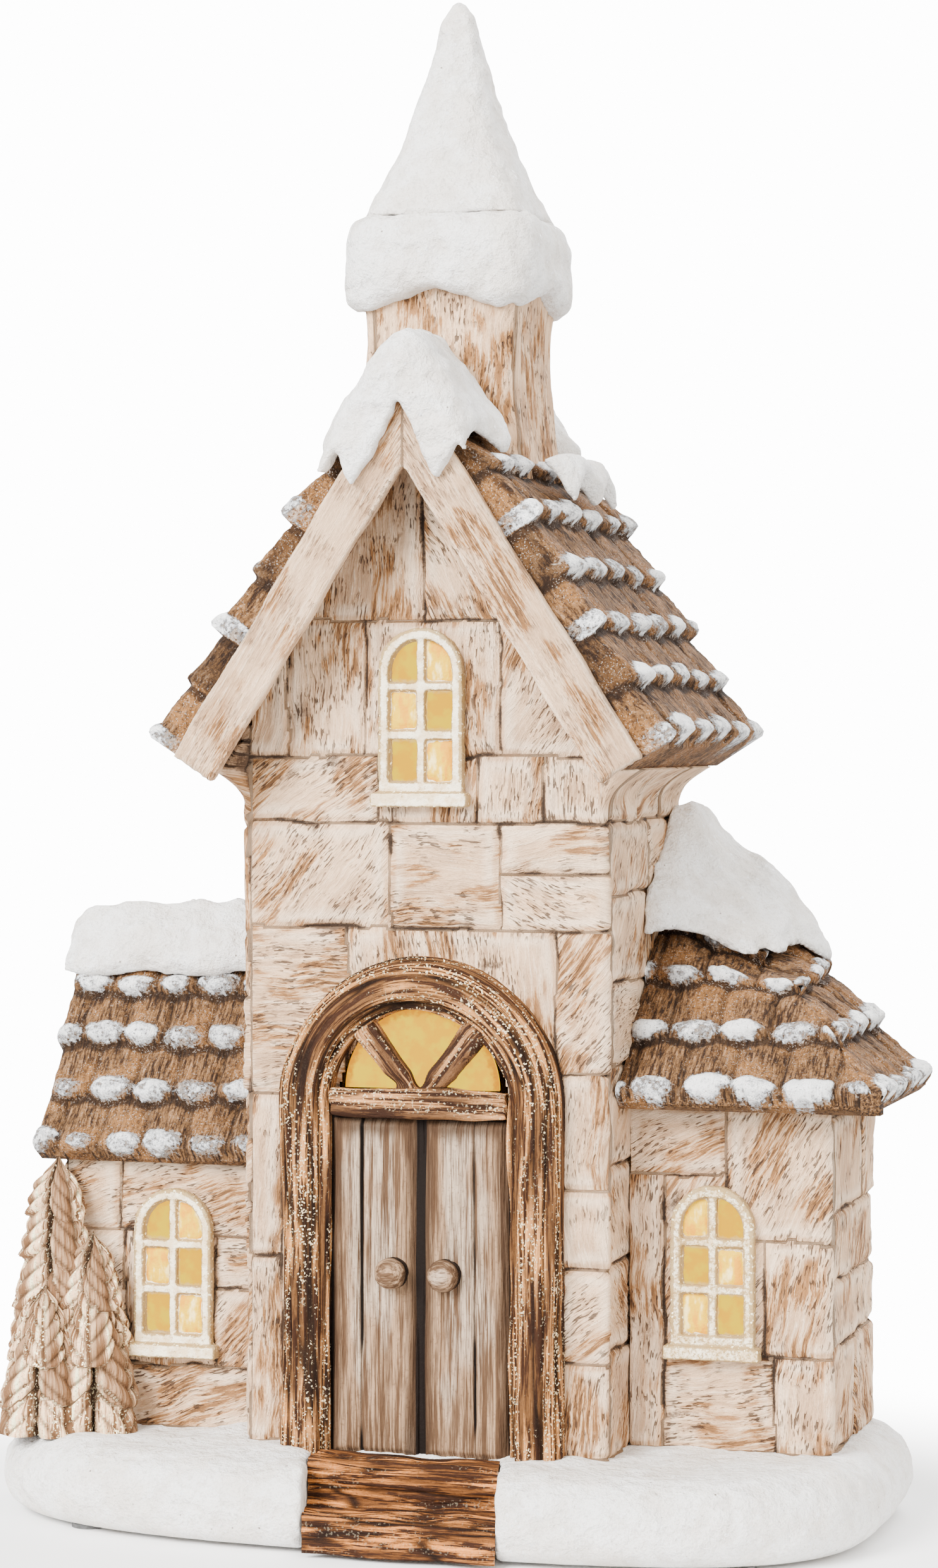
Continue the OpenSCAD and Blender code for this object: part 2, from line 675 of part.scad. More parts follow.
// Snow that lies along the sides of the tower and on the ridge behind it
foot_reach = 8.5;
module tower_foot_snow() {
  half = tower_w / 2 * tower_shares[0][1] + 2 * fit;
  y0 = front_y + tower_back;
  color("white") translate([body_x, 0, 0]) {
    for (side = [0, 1])
      mirror([side, 0, 0])
        let (start = (half + (2 * side - 1) * tower_shift) / cos(roof_pitch))
          ridge_snow(roof_pitch, skin_z, y0, y0 + tower_w + fit, function (share) start,
            function (share) start + foot_reach * (1 + 0.35 * cos(720 * share + 150 * side)), 5, 14);
    ridge_snow(roof_pitch, skin_z, y0 + tower_w + 2 * fit + half - tower_w / 2, roof_back,
      lobes(-gable_reach * 0.8, 0.15, 1, 90), lobes(gable_reach * 0.8, 0.15, 1, 200), 16, 8);
  }
}

// Snow over the ridge of the left wing
left_reach = 17;
module left_roof_snow() {
  color("white") translate([left_x, left_mid, 0]) rotate([0, 0, 90])
    ridge_snow(left_pitch, left_plate_z + skin_share * tile_t / cos(left_pitch), fit, left_w + left_end,
      lobes(-left_reach, 0.1, 2.3, 30), lobes(left_reach, 0.1, 2, 0), 14, 14);
}

// Snow over the top of the right roof, drawn out from the apex to a wavy lower edge
right_cover_share = 0.47;
module right_roof_snow() {
  rows = 8;
  cols = 16;
  top_z = right_top_z + (skin_share - 1) * tile_t / cos(right_pitch_x);
  low_z = top_z - right_rise;
  x0 = right_x + 2 * fit;
  apex = [x0, right_rear, top_z];
  front_n = [0, -sin(right_pitch_y), cos(right_pitch_y)];
  side_n = [sin(right_pitch_x), 0, cos(right_pitch_x)];
  function edge(a) = a < 0.5
    ? [x0 + (right_side - x0) * 2 * a, right_front, low_z]
    : [right_side, right_front + (right_rear - right_front) * (2 * a - 1), low_z];
  function cover(a) = right_cover_share
    * (1 + 0.25 * a * a + 0.06 * cos(720 * a + 40) - 0.2 * exp(-pow((a - 0.5) / 0.07, 2)));
  function lean(a) = max(0, min(1, (a - 0.44) / 0.12));
  function on(a, t, out) =
    let (n = front_n * (1 - lean(a)) + side_n * lean(a))
    apex + (edge(a) - apex) * (0.03 + (cover(a) - 0.03) * t) + n / norm(n) * out + [0, 0, fit];
  color("white") intersection() {
    blanket(
      [for (b = [0:rows]) [for (a = [0:cols])
        on(a / cols, b / rows, edge_t + (snow_t - edge_t) * swell(0.5 + 0.5 * b / rows, snow_edge_share))]],
      [for (b = [0:rows]) [for (a = [0:cols]) on(a / cols, b / rows, 0)]]);
    translate([right_x + fit, right_front, 0])
      cube([base_w, right_rear - right_front, eave_z - cove_h - fit]);
  }
}

// Places of the doorway
arch_z = base_top + door_spring;
arch_r = door_w / 2;
fan_z = arch_z + beam_h / 2;
fan_r = arch_r - trim_w / 4;

// Section of the rounded surround: across its width and out from the wall
module trim_section() {
  steps = 8;
  polygon([for (i = [0:steps])
    let (turn = 180 * i / steps)
    [arch_r + trim_w / 2 - trim_w / 2 * sign(cos(turn)) * pow(abs(cos(turn)), 0.7),
      trim_d * pow(sin(turn), 0.7)]]);
}

module door_surround() {
  color("saddlebrown") translate([body_x, 0, 0]) on_front(front_y) {
    translate([0, arch_z, 0]) rotate_extrude(angle = 180) trim_section();
    for (side = [0, 1])
      mirror([side, 0, 0]) translate([0, arch_z, 0]) rotate([90, 0, 0])
        linear_extrude(arch_z - base_top) trim_section();
  }
}

// The beam over the doors with two spokes that part the fanlight
beam_t = 4.5;
module fanlight_bars() {
  spoke_t = beam_t * 0.7;
  color("sienna") translate([body_x, 0, arch_z - beam_h / 2]) on_front(front_y) union() {
    translate([-arch_r + 3 * fit, 0, 0]) cube([door_w - 6 * fit, beam_h, beam_t]);
    intersection() {
      for (turn = [-38, 38])
        translate([0, beam_h / 2, 0]) rotate([0, 0, turn])
          translate([-spoke_w / 2, 0, 0]) cube([spoke_w, arch_r, spoke_t]);
      translate([0, beam_h / 2, 0]) cylinder(h = spoke_t, r = arch_r - fit);
    }
  }
}

// A door leaf of upright boards; side is -1 for the left one and 1 for the right one
boards = 3;
board_gap = 0.5;
module door_leaf(side) {
  width = (door_w - leaf_gap) / 2 - 2 * fit;
  height = arch_z - beam_h / 2 - base_top - fit;
  inner = side < 0 ? -leaf_gap / 2 - width : leaf_gap / 2;
  color("rosybrown") translate([body_x + inner, 0, base_top]) on_front(front_y) difference() {
    cube([width, height, leaf_t]);
    for (i = [1:boards - 1])
      translate([i * width / boards - board_gap / 2, -cut, leaf_t - board_gap])
        cube([board_gap, height + 2 * cut, board_gap + cut]);
  }
}
module door_leaf_left() { door_leaf(-1); }
module door_leaf_right() { door_leaf(1); }

// Round knobs on small roses, one on each leaf
knob_z = 39;
knob_x = 6;
module door_knobs() {
  color("peru") for (side = [-1, 1])
    translate([body_x + side * knob_x, 0, base_top + knob_z]) on_front(front_y - leaf_t) intersection() {
      translate([0, 0, knob_r * 0.5]) sphere(knob_r);
      translate([-knob_r, -knob_r, 0]) cube(2 * knob_r);
    }
}

// Places of the windows along the walls
left_win_x = left_x - left_w * 0.41;
right_win_x = right_x + right_w * 0.42;

// A window frame with bars, blind panes and three open panes, its foot at the height of the sill
pane_t = 0.8;
sill_over = 1.4;
module window_frame(x, y, z, bright) {
  inner_w = win_w - 2 * win_border;
  inner_h = win_h - 2 * win_border;
  color("cornsilk") translate([x, 0, z]) on_front(y) union() {
    linear_extrude(win_d) difference() {
      arch(win_w, win_h);
      arch(inner_w, inner_h, win_border);
    }
    linear_extrude(pane_t) difference() {
      arch(inner_w + win_border, inner_h + win_border, win_border / 2);
      for (row = [0:2], col = [0:1])
        if ((row + col) % 2 == bright) pane(row, col, inner_w, inner_h);
    }
    translate([-bar_w / 2, win_border / 2, 0]) cube([bar_w, inner_h + win_border, win_d * 0.8]);
    for (row = [1, 2])
      translate([-inner_w / 2 - win_border / 2, win_border + row * inner_h / 3 - bar_w / 2, 0])
        cube([inner_w + win_border, bar_w, win_d * 0.8]);
    translate([-win_w / 2 - sill_over, -sill_h, 0]) cube([win_w + 2 * sill_over, sill_h, win_d + sill_over]);
  }
}

// One open pane of the six
module pane(row, col, inner_w, inner_h) {
  intersection() {
    translate([col * inner_w / 2 - inner_w / 2 + bar_w / 4, win_border + row * inner_h / 3 + bar_w / 4])
      square([inner_w / 2 - bar_w / 2, inner_h / 3 - bar_w / 2]);
    arch(inner_w - bar_w / 2, inner_h - bar_w / 4, win_border);
  }
}
module gable_window_frame() { window_frame(body_x, front_y, gable_win_z, 0); }
module left_window_frame() { window_frame(left_win_x, left_y0, left_win_z, 0); }
module right_window_frame() { window_frame(right_win_x, right_y0, right_win_z, 1); }

// Amber film in the hole of the wall, against the back of the panes
module window_film(x, y, z) {
  color("orange") translate([x, 0, z]) on_front(y + film_t)
    linear_extrude(film_t)
      arch(win_w - 2 * win_border - 2 * fit, win_h - 2 * win_border - 2 * fit, win_border + fit);
}
module gable_window_film() { window_film(body_x, front_y, gable_win_z); }
module left_window_film() { window_film(left_win_x, left_y0, left_win_z); }
module right_window_film() { window_film(right_win_x, right_y0, right_win_z); }
module fanlight_film() {
  color("orange") translate([body_x, 0, fan_z + fit]) on_front(front_y + film_t)
    linear_extrude(film_t) half_disc(fan_r - 2 * fit);
}

// Three spruces in relief at the corner of the left wing: place, height and radius of each
tree_shares = [[0.03, -0.22, 1, 0.2], [0.2, -0.3, 0.72, 0.16], [-0.1, -0.02, 0.66, 0.11]];
tree_h = 61;
tiers = 5;
module spruce_trees() {
  color("tan") difference() {
    union() for (t = tree_shares)
      translate([left_x - left_w + t[0] * tree_h, left_y0 + t[1] * tree_h * 0.6, base_top])
        spruce(t[2] * tree_h, t[3] * tree_h);
    translate([left_x - left_w - fit, left_y0 - fit, 0]) cube([left_w, left_d, left_ridge_z]);
    translate([-base_w, -base_d, left_eave_z - tile_t]) cube([2 * base_w, 2 * base_d, tree_h]);
  }
}

// A spruce of tiers, each a cone over the next
tier_lap_share = 0.35;
tip_share = 0.2;
module spruce(height, radius) {
  step = height / (tiers + tier_lap_share);
  for (k = [0:tiers - 1])
    translate([0, 0, k * step])
      cylinder(h = step * (1 + tier_lap_share), r1 = radius * (1 - k / (tiers + 1)), r2 = radius * tip_share);
}

// Places of the battery box, which hangs in the base from below
cell_space = 0.7;
cell_pitch = cell_dia + cell_space;
spring_l = 3;
plate_t = 0.5;
cells = 3;
boss_d = 7;
bay_w = cells * cell_pitch + cell_space;
bay_l = cell_l + spring_l + 2 * plate_t;
cover_t = 2;
cell_gap = 0.3;
cell_z = pad_t + cover_t + cell_gap + cell_dia / 2;
box_h = cover_t + 2 * cell_gap + cell_dia + box_t;
box_w = bay_w + board_bay_w + 3 * box_t;
box_l = bay_l + boss_d + 2 * box_t;
unit_y = front_y + body_d / 2;
box_x0 = body_x - board_bay_w / 2 - bay_w - 2 * box_t;
box_y0 = unit_y - box_l / 2;
bay_x0 = box_x0 + box_t;
bay_y0 = box_y0 + box_t + boss_d;
board_x0 = bay_x0 + bay_w + box_t;
box_top = pad_t + box_h;
collar_t = 6;
flange_w = 4;
screw_x = bay_x0 + bay_w / 2;
screw_y = box_y0 + box_t + boss_d / 2;
boss_r = 3;
run_gap = 0.05;
ledge_w = 1;
wire_r = 0.6;
wire_x = 0.7;

// The battery box: a tray open at the bottom, with a closed bay for the timer board beside it
slot_w = 3.4;
knob_l = 3;
module battery_box() {
  inner_h = box_h - box_t;
  color("darkslategray") difference() {
    union() {
      translate([box_x0, box_y0, pad_t]) cube([box_w, box_l, box_h]);
      translate([box_x0 - flange_w, box_y0, pad_t]) cube([box_w + 2 * flange_w, box_l, box_t]);
    }
    difference() {
      translate([bay_x0, box_y0 + box_t, pad_t - cut]) cube([bay_w, box_l - 2 * box_t, inner_h + cut]);
      translate([screw_x, screw_y, pad_t + cover_t]) cylinder(h = inner_h, r = boss_r);
      for (y = [box_y0 + box_t, box_y0 + box_l - box_t - ledge_w])
        translate([bay_x0, y, pad_t + cover_t]) cube([bay_w, ledge_w, ledge_w]);
    }
    translate([screw_x, screw_y, 0]) cylinder(h = pad_t + box_h - box_t, r = screw_r + run_gap);
    translate([board_x0, box_y0 + box_t, pad_t + box_t])
      cube([board_bay_w, box_l - 2 * box_t, inner_h - box_t]);
    translate([switch_x - slot_w / 2, switch_y - fit - knob_l / 2, 0])
      cube([slot_w, knob_l + switch_travel + 2 * fit, pad_t + box_t + cut]);
    translate([body_x, unit_y, box_top - box_t - cut]) cylinder(h = box_t + 2 * cut, r = post_r / 2);
  }
}

// The cover of the cells, with a recess for the head of its screw
cover_gap = 0.25;
head_r = 2.2;
head_t = 1.2;
module battery_cover() {
  color("darkslategray") difference() {
    translate([bay_x0 + cover_gap, box_y0 + box_t + cover_gap, pad_t])
      cube([bay_w - 2 * cover_gap, box_l - 2 * box_t - 2 * cover_gap, cover_t - cell_gap / 2]);
    translate([screw_x, screw_y, pad_t - cut]) cylinder(h = cover_t + 2 * cut, r = screw_r + run_gap);
    translate([screw_x, screw_y, pad_t - cut]) cylinder(h = cut + head_t, r = head_r + 2 * fit);
    for (i = [-2:2])
      translate([screw_x - bay_w / 4, unit_y + cell_l / 4 + i * 2 * ledge_w, pad_t - cut])
        cube([bay_w / 2, ledge_w, cut + cover_t / 4]);
  }
}

// The captive screw of the cover, with a cross slot
module cover_screw() {
  color("silver") translate([screw_x, screw_y, pad_t + fit]) difference() {
    union() {
      cylinder(h = head_t - fit - run_gap, r = head_r);
      cylinder(h = cover_t + box_h / 3, r = screw_r);
    }
    for (turn = [0, 90])
      rotate([0, 0, turn]) translate([-head_r, -screw_r / 4, -cut])
        cube([2 * head_r, screw_r / 2, cut + head_t / 2]);
  }
}

// Centre of a cell across the box, and which end its spring is at
function cell_x(i) = bay_x0 + cell_space + cell_dia / 2 + i * cell_pitch;
function spring_first(i) = i % 2 == 0;
button_r = 1.9;
button_h = 1;
module batteries() {
  color("silver") for (i = [0:cells - 1])
    translate([cell_x(i), bay_y0 + plate_t + (spring_first(i) ? spring_l : 0), cell_z]) rotate([-90, 0, 0])
      union() {
        translate([0, 0, spring_first(i) ? 0 : button_h]) cylinder(h = cell_l - button_h, r = cell_dia / 2);
        cylinder(h = cell_l, r = button_r);
      }
}

// Spring contacts, drawn as short sleeves
spring_r = 3;
module battery_springs() {
  color("silver") for (i = [0:cells - 1])
    translate([cell_x(i), bay_y0 + plate_t + (spring_first(i) ? 0 : cell_l), cell_z]) rotate([-90, 0, 0])
      difference() {
        cylinder(h = spring_l, r = spring_r);
        translate([0, 0, -cut]) cylinder(h = spring_l + 2 * cut, r = spring_r - wire_r);
      }
}

// Flat contacts at both ends of the bay
module contact_plates() {
  size = cell_dia * 0.8;
  color("gold") for (i = [0:cells - 1], y = [bay_y0, bay_y0 + bay_l - plate_t])
    translate([cell_x(i) - size / 2, y, cell_z - size / 2]) cube([size, plate_t, size]);
}

// The slide switch stands on the floor of its bay, under the timer board
switch_x = board_x0 + board_bay_w * 0.7;
switch_back = 10;
switch_y = unit_y + switch_back;
housing_w = 7;
housing_h = 4.5;
housing_end = 4.5;
housing_l = switch_travel + 2 * housing_end;
knob_t = 1.6;
module switch_housing() {
  color("gray") difference() {
    translate([switch_x - housing_w / 2, switch_y + switch_travel / 2 - housing_l / 2, pad_t + box_t])
      cube([housing_w, housing_l, housing_h]);
    translate([switch_x - slot_w / 2, switch_y - knob_l / 2 - fit, pad_t])
      cube([slot_w, knob_l + switch_travel + 2 * fit, box_t + housing_h / 2 + fit]);
  }
}
module switch_slider() {
  width = slot_w - 2 * fit;
  color("white") translate([switch_x - width / 2, switch_y - knob_l / 2, pad_t + fit])
    cube([width, knob_l, box_t + housing_h / 2 - 2 * fit]);
}

// The timer board lies on the switch and on the floor's posts, its chip on top
module timer_board() {
  color("green") translate([board_x0 + fit, unit_y - box_l * 0.3, pad_t + box_t + housing_h])
    cube([board_bay_w - 2 * fit, box_l * 0.66, knob_t]);
}
chip_w = 6;
module timer_chip() {
  color("black") translate([board_x0 + chip_w / 4, unit_y - box_l * 0.2, pad_t + box_t + housing_h + knob_t])
    cube([chip_w, chip_w * 1.4, knob_t]);
}

// The lamp post: a tube on a foot, with four holes for the diodes. Each hole has its share of the
// height of the post and the turn that it looks in.
post_wall = 1.5;
foot_h = 2;
foot_r = 9;
led_shares = [[0.34, 180], [0.36, 0], [0.61, -90], [0.945, -90]];
module lamp_post() {
  color("whitesmoke") difference() {
    union() {
      translate([body_x, unit_y, box_top]) cylinder(h = foot_h, r = foot_r);
      translate([body_x, unit_y, box_top]) cylinder(h = post_z - box_top, r = post_r);
    }
    translate([body_x, unit_y, box_top - cut]) cylinder(h = post_z - box_top, r = post_r - post_wall);
    for (p = led_shares)
      translate([body_x, unit_y, p[0] * post_z]) rotate([0, 90, p[1]])
        cylinder(h = 2 * post_r, r = led_r + run_gap);
  }
}

// Warm light emitting diodes that look out of the post, with domed fronts
module led_lamps() {
  back = wire_x + wire_r;
  color("ivory") for (p = led_shares)
    translate([body_x, unit_y, p[0] * post_z]) rotate([0, 90, p[1]]) union() {
      translate([0, 0, back]) cylinder(h = post_r, r = led_r);
      translate([0, 0, back + post_r]) sphere(led_r);
    }
}

// The pair of wires that rises inside the post from the board to the highest diode
module lamp_wires() {
  z0 = pad_t + box_t + housing_h + knob_t;
  color("red") for (side = [-1, 1])
    translate([body_x + side * wire_x, unit_y, z0])
      cylinder(h = led_shares[3][0] * post_z - z0, r = wire_r);
}

base_slab();
path_steps();
foot_pads();
main_walls();
left_wing_walls();
right_wing_walls();
main_roof();
left_roof();
right_roof();
bargeboards();
tower_shaft();
tower_cap();
spire();
gable_snow();
tower_foot_snow();
left_roof_snow();
right_roof_snow();
door_surround();
fanlight_bars();
door_leaf_left();
door_leaf_right();
door_knobs();
gable_window_frame();
left_window_frame();
right_window_frame();
gable_window_film();
left_window_film();
right_window_film();
fanlight_film();
spruce_trees();
battery_box();
battery_cover();
cover_screw();
batteries();
battery_springs();
contact_plates();
timer_board();
timer_chip();
switch_housing();
switch_slider();
lamp_post();
led_lamps();
lamp_wires();
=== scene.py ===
import logging
import math
from collections.abc import Callable
from dataclasses import dataclass, field
from enum import Enum

import bmesh
import bpy
import numpy as np
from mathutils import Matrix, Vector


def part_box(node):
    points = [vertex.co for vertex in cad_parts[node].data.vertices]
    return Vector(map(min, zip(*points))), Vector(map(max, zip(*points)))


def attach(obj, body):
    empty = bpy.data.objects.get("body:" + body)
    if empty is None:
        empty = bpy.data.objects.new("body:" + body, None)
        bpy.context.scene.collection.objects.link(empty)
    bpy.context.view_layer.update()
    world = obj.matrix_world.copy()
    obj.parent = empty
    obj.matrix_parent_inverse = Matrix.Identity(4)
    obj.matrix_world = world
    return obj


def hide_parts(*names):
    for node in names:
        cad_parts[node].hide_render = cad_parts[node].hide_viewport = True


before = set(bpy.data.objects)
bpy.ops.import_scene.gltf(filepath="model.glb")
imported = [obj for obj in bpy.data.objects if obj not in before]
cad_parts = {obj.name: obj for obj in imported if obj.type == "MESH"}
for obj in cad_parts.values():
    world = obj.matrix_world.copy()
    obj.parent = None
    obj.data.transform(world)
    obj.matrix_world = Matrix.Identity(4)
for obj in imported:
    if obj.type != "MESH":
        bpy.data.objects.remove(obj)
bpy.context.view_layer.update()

log = logging.getLogger("village_house")
Array = np.ndarray
Colour = tuple[float, float, float]
Triple = tuple[float, float, float]
Rows = tuple[tuple[float, float, float, float, float], ...]
Place = Callable[[int, Array, Array], Array]
Keep = Callable[[Array, Array, Array, Array], Array]
Flare = Callable[[Array, Array], Array]
MM = 0.001
RIM = (np.s_[0, :], np.s_[-1, :], np.s_[:, 0], np.s_[:, -1])


def lattice(points: Array, seed: int) -> Array:
    """Evens out random numbers over whole-number points.

    Args:
        points: Whole-number points, one row each.
        seed: Picks the set of numbers.

    Returns:
        A number from -1 to 1 for each point.
    """
    p = points.astype(np.int64)
    h = (p[..., 0] * 374761393 + p[..., 1] * 668265263 + p[..., 2] * 1274126177 + seed * 974634777) & 0x7FFFFFFF
    h = ((h ^ (h >> 13)) * 1103515245) & 0x7FFFFFFF
    h = ((h ^ (h >> 15)) * 12345677) & 0x7FFFFFFF
    return (h ^ (h >> 14)) % 65536 / 32767.5 - 1.0


def grain(points: Array, size: float | Triple, seed: int, octaves: int = 1) -> Array:
    """Smooth random heights in space.

    Args:
        points: Points in mm, in any arrangement.
        size: Width of a bump in mm, or one width for each direction.
        seed: Picks the pattern.
        octaves: How many finer patterns are laid over each other.

    Returns:
        A height from about -1 to 1 for each point.
    """
    total, weight, out = 0.0, 1.0, np.zeros(points.shape[:-1])
    scale = np.array(size, float) * np.ones(3)
    for octave in range(octaves):
        q = points / scale * 2.0**octave + 17.3 * octave
        low = np.floor(q)
        t = q - low
        t = t * t * (3 - 2 * t)
        value = np.zeros(points.shape[:-1])
        for corner in range(8):
            c = np.array([corner & 1, corner >> 1 & 1, corner >> 2 & 1])
            share = np.prod(np.where(c, t, 1 - t), axis=-1)
            value += share * lattice(low + c, seed + octave)
        out += weight * value
        total += weight
        weight *= 0.5
    return out / total


def ease(value: Array | float, low: float, high: float) -> Array:
    """Runs smoothly from 0 at low to 1 at high."""
    t = np.clip((np.asarray(value, float) - low) / (high - low), 0, 1)
    return t * t * (3 - 2 * t)


def unit(vector: Array) -> Array:
    """Scales each row to length 1."""
    v = np.asarray(vector, float)
    return v / np.maximum(np.linalg.norm(v, axis=-1, keepdims=True), 1e-9)


def carry(mesh: bpy.types.Mesh, marks: dict[str, Array]) -> None:
    """Stores numbers and vectors for the shaders on the points of a mesh."""
    for mark, data in marks.items():
        kind, field_name = ("FLOAT_VECTOR", "vector") if data.ndim == 2 else ("FLOAT", "value")
        layer = mesh.attributes.new(mark, kind, "POINT")
        layer.data.foreach_set(field_name, data.astype(np.float32).ravel())


class Form:
    """A mesh under construction, in mm, with numbers for its shaders on each point."""

    def __init__(self) -> None:
        """Starts with no points."""
        self.points: list[Array] = []
        self.faces: list[list[int]] = []
        self.marks: dict[str, list[Array]] = {}
        self.count = 0

    def add(self, points: Array, faces: list[list[int]], **marks: Array) -> None:
        """Adds points and faces.

        Args:
            points: The new points, one row each.
            faces: Faces that count the new points from 0.
            **marks: For each named mark a number or a vector on each new point.
        """
        points = np.asarray(points, float).reshape(-1, 3)
        base = self.count
        self.faces.extend([[i + base for i in f] for f in faces])
        for name in set(self.marks) | set(marks):
            value = np.asarray(marks.get(name, 0.0), float)
            if name not in self.marks:
                wide = value.shape[-1] if value.ndim == 2 else 0
                self.marks[name] = [np.zeros((base, wide) if wide else base)]
            like = self.marks[name][0]
            shape = (len(points), like.shape[1]) if like.ndim == 2 else (len(points),)
            self.marks[name].append(np.broadcast_to(value, shape).copy())
        self.points.append(points)
        self.count += len(points)

    def grid(self, points: Array, keep: Array | None = None, wrap: bool = False, **marks: Array) -> None:
        """Adds a sheet of quads.

        Args:
            points: Points in rows and columns.
            keep: Which cells are faces; all if it isn't given.
            wrap: Joins the last column to the first.
            **marks: Marks in rows and columns, or in one row.
        """
        rows, cols = points.shape[:2]
        n = cols if wrap else cols - 1
        a, b = np.meshgrid(np.arange(rows - 1), np.arange(n), indexing="ij")
        c = (b + 1) % cols
        quads = np.stack([a * cols + b, a * cols + c, (a + 1) * cols + c, (a + 1) * cols + b], -1)
        quads = quads.reshape(-1, 4) if keep is None else quads[keep[:, :n]]
        flat = {k: v.reshape(rows * cols, *([3] if v.size > rows * cols else [])) for k, v in marks.items()}
        used = np.unique(quads)
        place = np.full(rows * cols, -1)
        place[used] = np.arange(len(used))
        self.add(points.reshape(-1, 3)[used], place[quads].tolist(), **{k: v[used] for k, v in flat.items()})

    def finish(self, name: str, finish: "Finish", slot: str = "", replaces: tuple[str, ...] = ()) -> bpy.types.Object:
        """Makes the object, dresses it, puts it on its body and hides the CAD nodes that it stands for.

        Args:
            name: Name of the piece.
            finish: What it is made of.
            slot: Not used.
            replaces: CAD nodes that it stands for.

        Returns:
            The new object.
        """
        mesh = bpy.data.meshes.new(name)
        mesh.from_pydata((np.concatenate(self.points) * MM).tolist(), [], self.faces)
        mesh.polygons.foreach_set("use_smooth", [True] * len(mesh.polygons))
        carry(mesh, {mark: np.concatenate(parts) for mark, parts in self.marks.items()})
        mesh.update()
        return settle(bpy.data.objects.new(name, mesh), finish, replaces)


def dress(piece: bpy.types.Object, finish: "Finish") -> None:
    """Gives an object one material."""
    piece.data.materials.clear()
    piece.data.materials.append(finish.material())


def settle(piece: bpy.types.Object, finish: "Finish", replaces: tuple[str, ...],
           body: str = "house") -> bpy.types.Object:
    """Links a piece, dresses it and puts it on its body.

    Args:
        piece: The new object.
        finish: What it is made of.
        replaces: CAD nodes that it stands for.
        body: The CAD body that it rides on.

    Returns:
        The same object.
    """
    bpy.context.scene.collection.objects.link(piece)
    dress(piece, finish)
    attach(piece, body)
    if replaces:
        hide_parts(*replaces)
    log.info("%s: %d faces on %s", piece.name, len(piece.data.polygons), body)
    return piece


@dataclass
class Remade:
    """A copy of a CAD node as a soft clay form, remeshed and worked over point by point."""

    node: str
    voxel: float
    rounds: int
    pull: float = 0.5
    banks: Rows = ()

    def _heap(self, mesh: bpy.types.Mesh, foot: float = 16.1, fall: float = 0.22) -> None:
        """Adds the banks, which the remesh then melts into the form.

        Args:
            mesh: Takes the banks; each is given as x0, x1, y0, y1 and the height of its highest corner.
            foot: Where they start, inside the form.
            fall: How much they fall for each mm away from that corner.
        """
        work = bmesh.new()
        work.from_mesh(mesh)
        for x0, x1, y0, y1, top in self.banks:
            ring = [(x0, y0), (x1, y0), (x1, y1), (x0, y1)]
            inner = [(x, y, top - fall * math.hypot(x - x1, y - (y1 if y1 < P.left_mid else y0))) for x, y in ring]
            low = [work.verts.new((x * MM, y * MM, foot * MM)) for x, y in ring]
            high = [work.verts.new((x * MM, y * MM, z * MM)) for x, y, z in inner]
            work.faces.new(low[::-1])
            work.faces.new(high)
            for i in range(4):
                j = (i + 1) % 4
                work.faces.new((low[i], low[j], high[j], high[i]))
        work.to_mesh(mesh)
        work.free()

    def build(self, name: str, finish: "Finish", slot: str, shape: Callable[[Array, Array], Array] | None = None,
              marks: Callable[[Array, Array], dict[str, Array]] | None = None) -> bpy.types.Object:
        """Makes the piece.

        Args:
            name: Name of the piece.
            finish: What it is made of.
            slot: Not used.
            shape: Takes points and normals in mm and gives the moved points.
            marks: Takes points and normals in mm and gives marks for the shader.

        Returns:
            The piece, which stands for the node.
        """
        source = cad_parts[self.node]
        piece = bpy.data.objects.new(name, source.data.copy())
        bpy.context.scene.collection.objects.link(piece)
        if self.banks:
            self._heap(piece.data)
        remesh = piece.modifiers.new("clay", "REMESH")
        remesh.mode, remesh.voxel_size = "VOXEL", self.voxel * MM
        remesh.use_smooth_shade = True
        smooth = piece.modifiers.new("hand", "SMOOTH")
        smooth.factor, smooth.iterations = self.pull, self.rounds
        graph = bpy.context.evaluated_depsgraph_get()
        mesh = bpy.data.meshes.new_from_object(piece.evaluated_get(graph))
        bpy.data.objects.remove(piece)
        mesh.name = name
        count = len(mesh.vertices)
        points, normals = np.zeros((count, 3), np.float32), np.zeros((count, 3), np.float32)
        mesh.vertices.foreach_get("co", points.ravel())
        mesh.vertices.foreach_get("normal", normals.ravel())
        points, normals = points.astype(float) / MM, normals.astype(float)
        extra = marks(points, normals) if marks else {}
        if shape:
            points = shape(points, normals)
            mesh.vertices.foreach_set("co", (points * MM).astype(np.float32).ravel())
        carry(mesh, extra)
        mesh.update()
        return settle(bpy.data.objects.new(name, mesh), finish, (self.node,))


def box_of(node: str) -> tuple[Array, Array]:
    """Lowest and highest corner of a CAD node, in mm."""
    low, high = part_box(node)
    return np.array(low) / MM, np.array(high) / MM


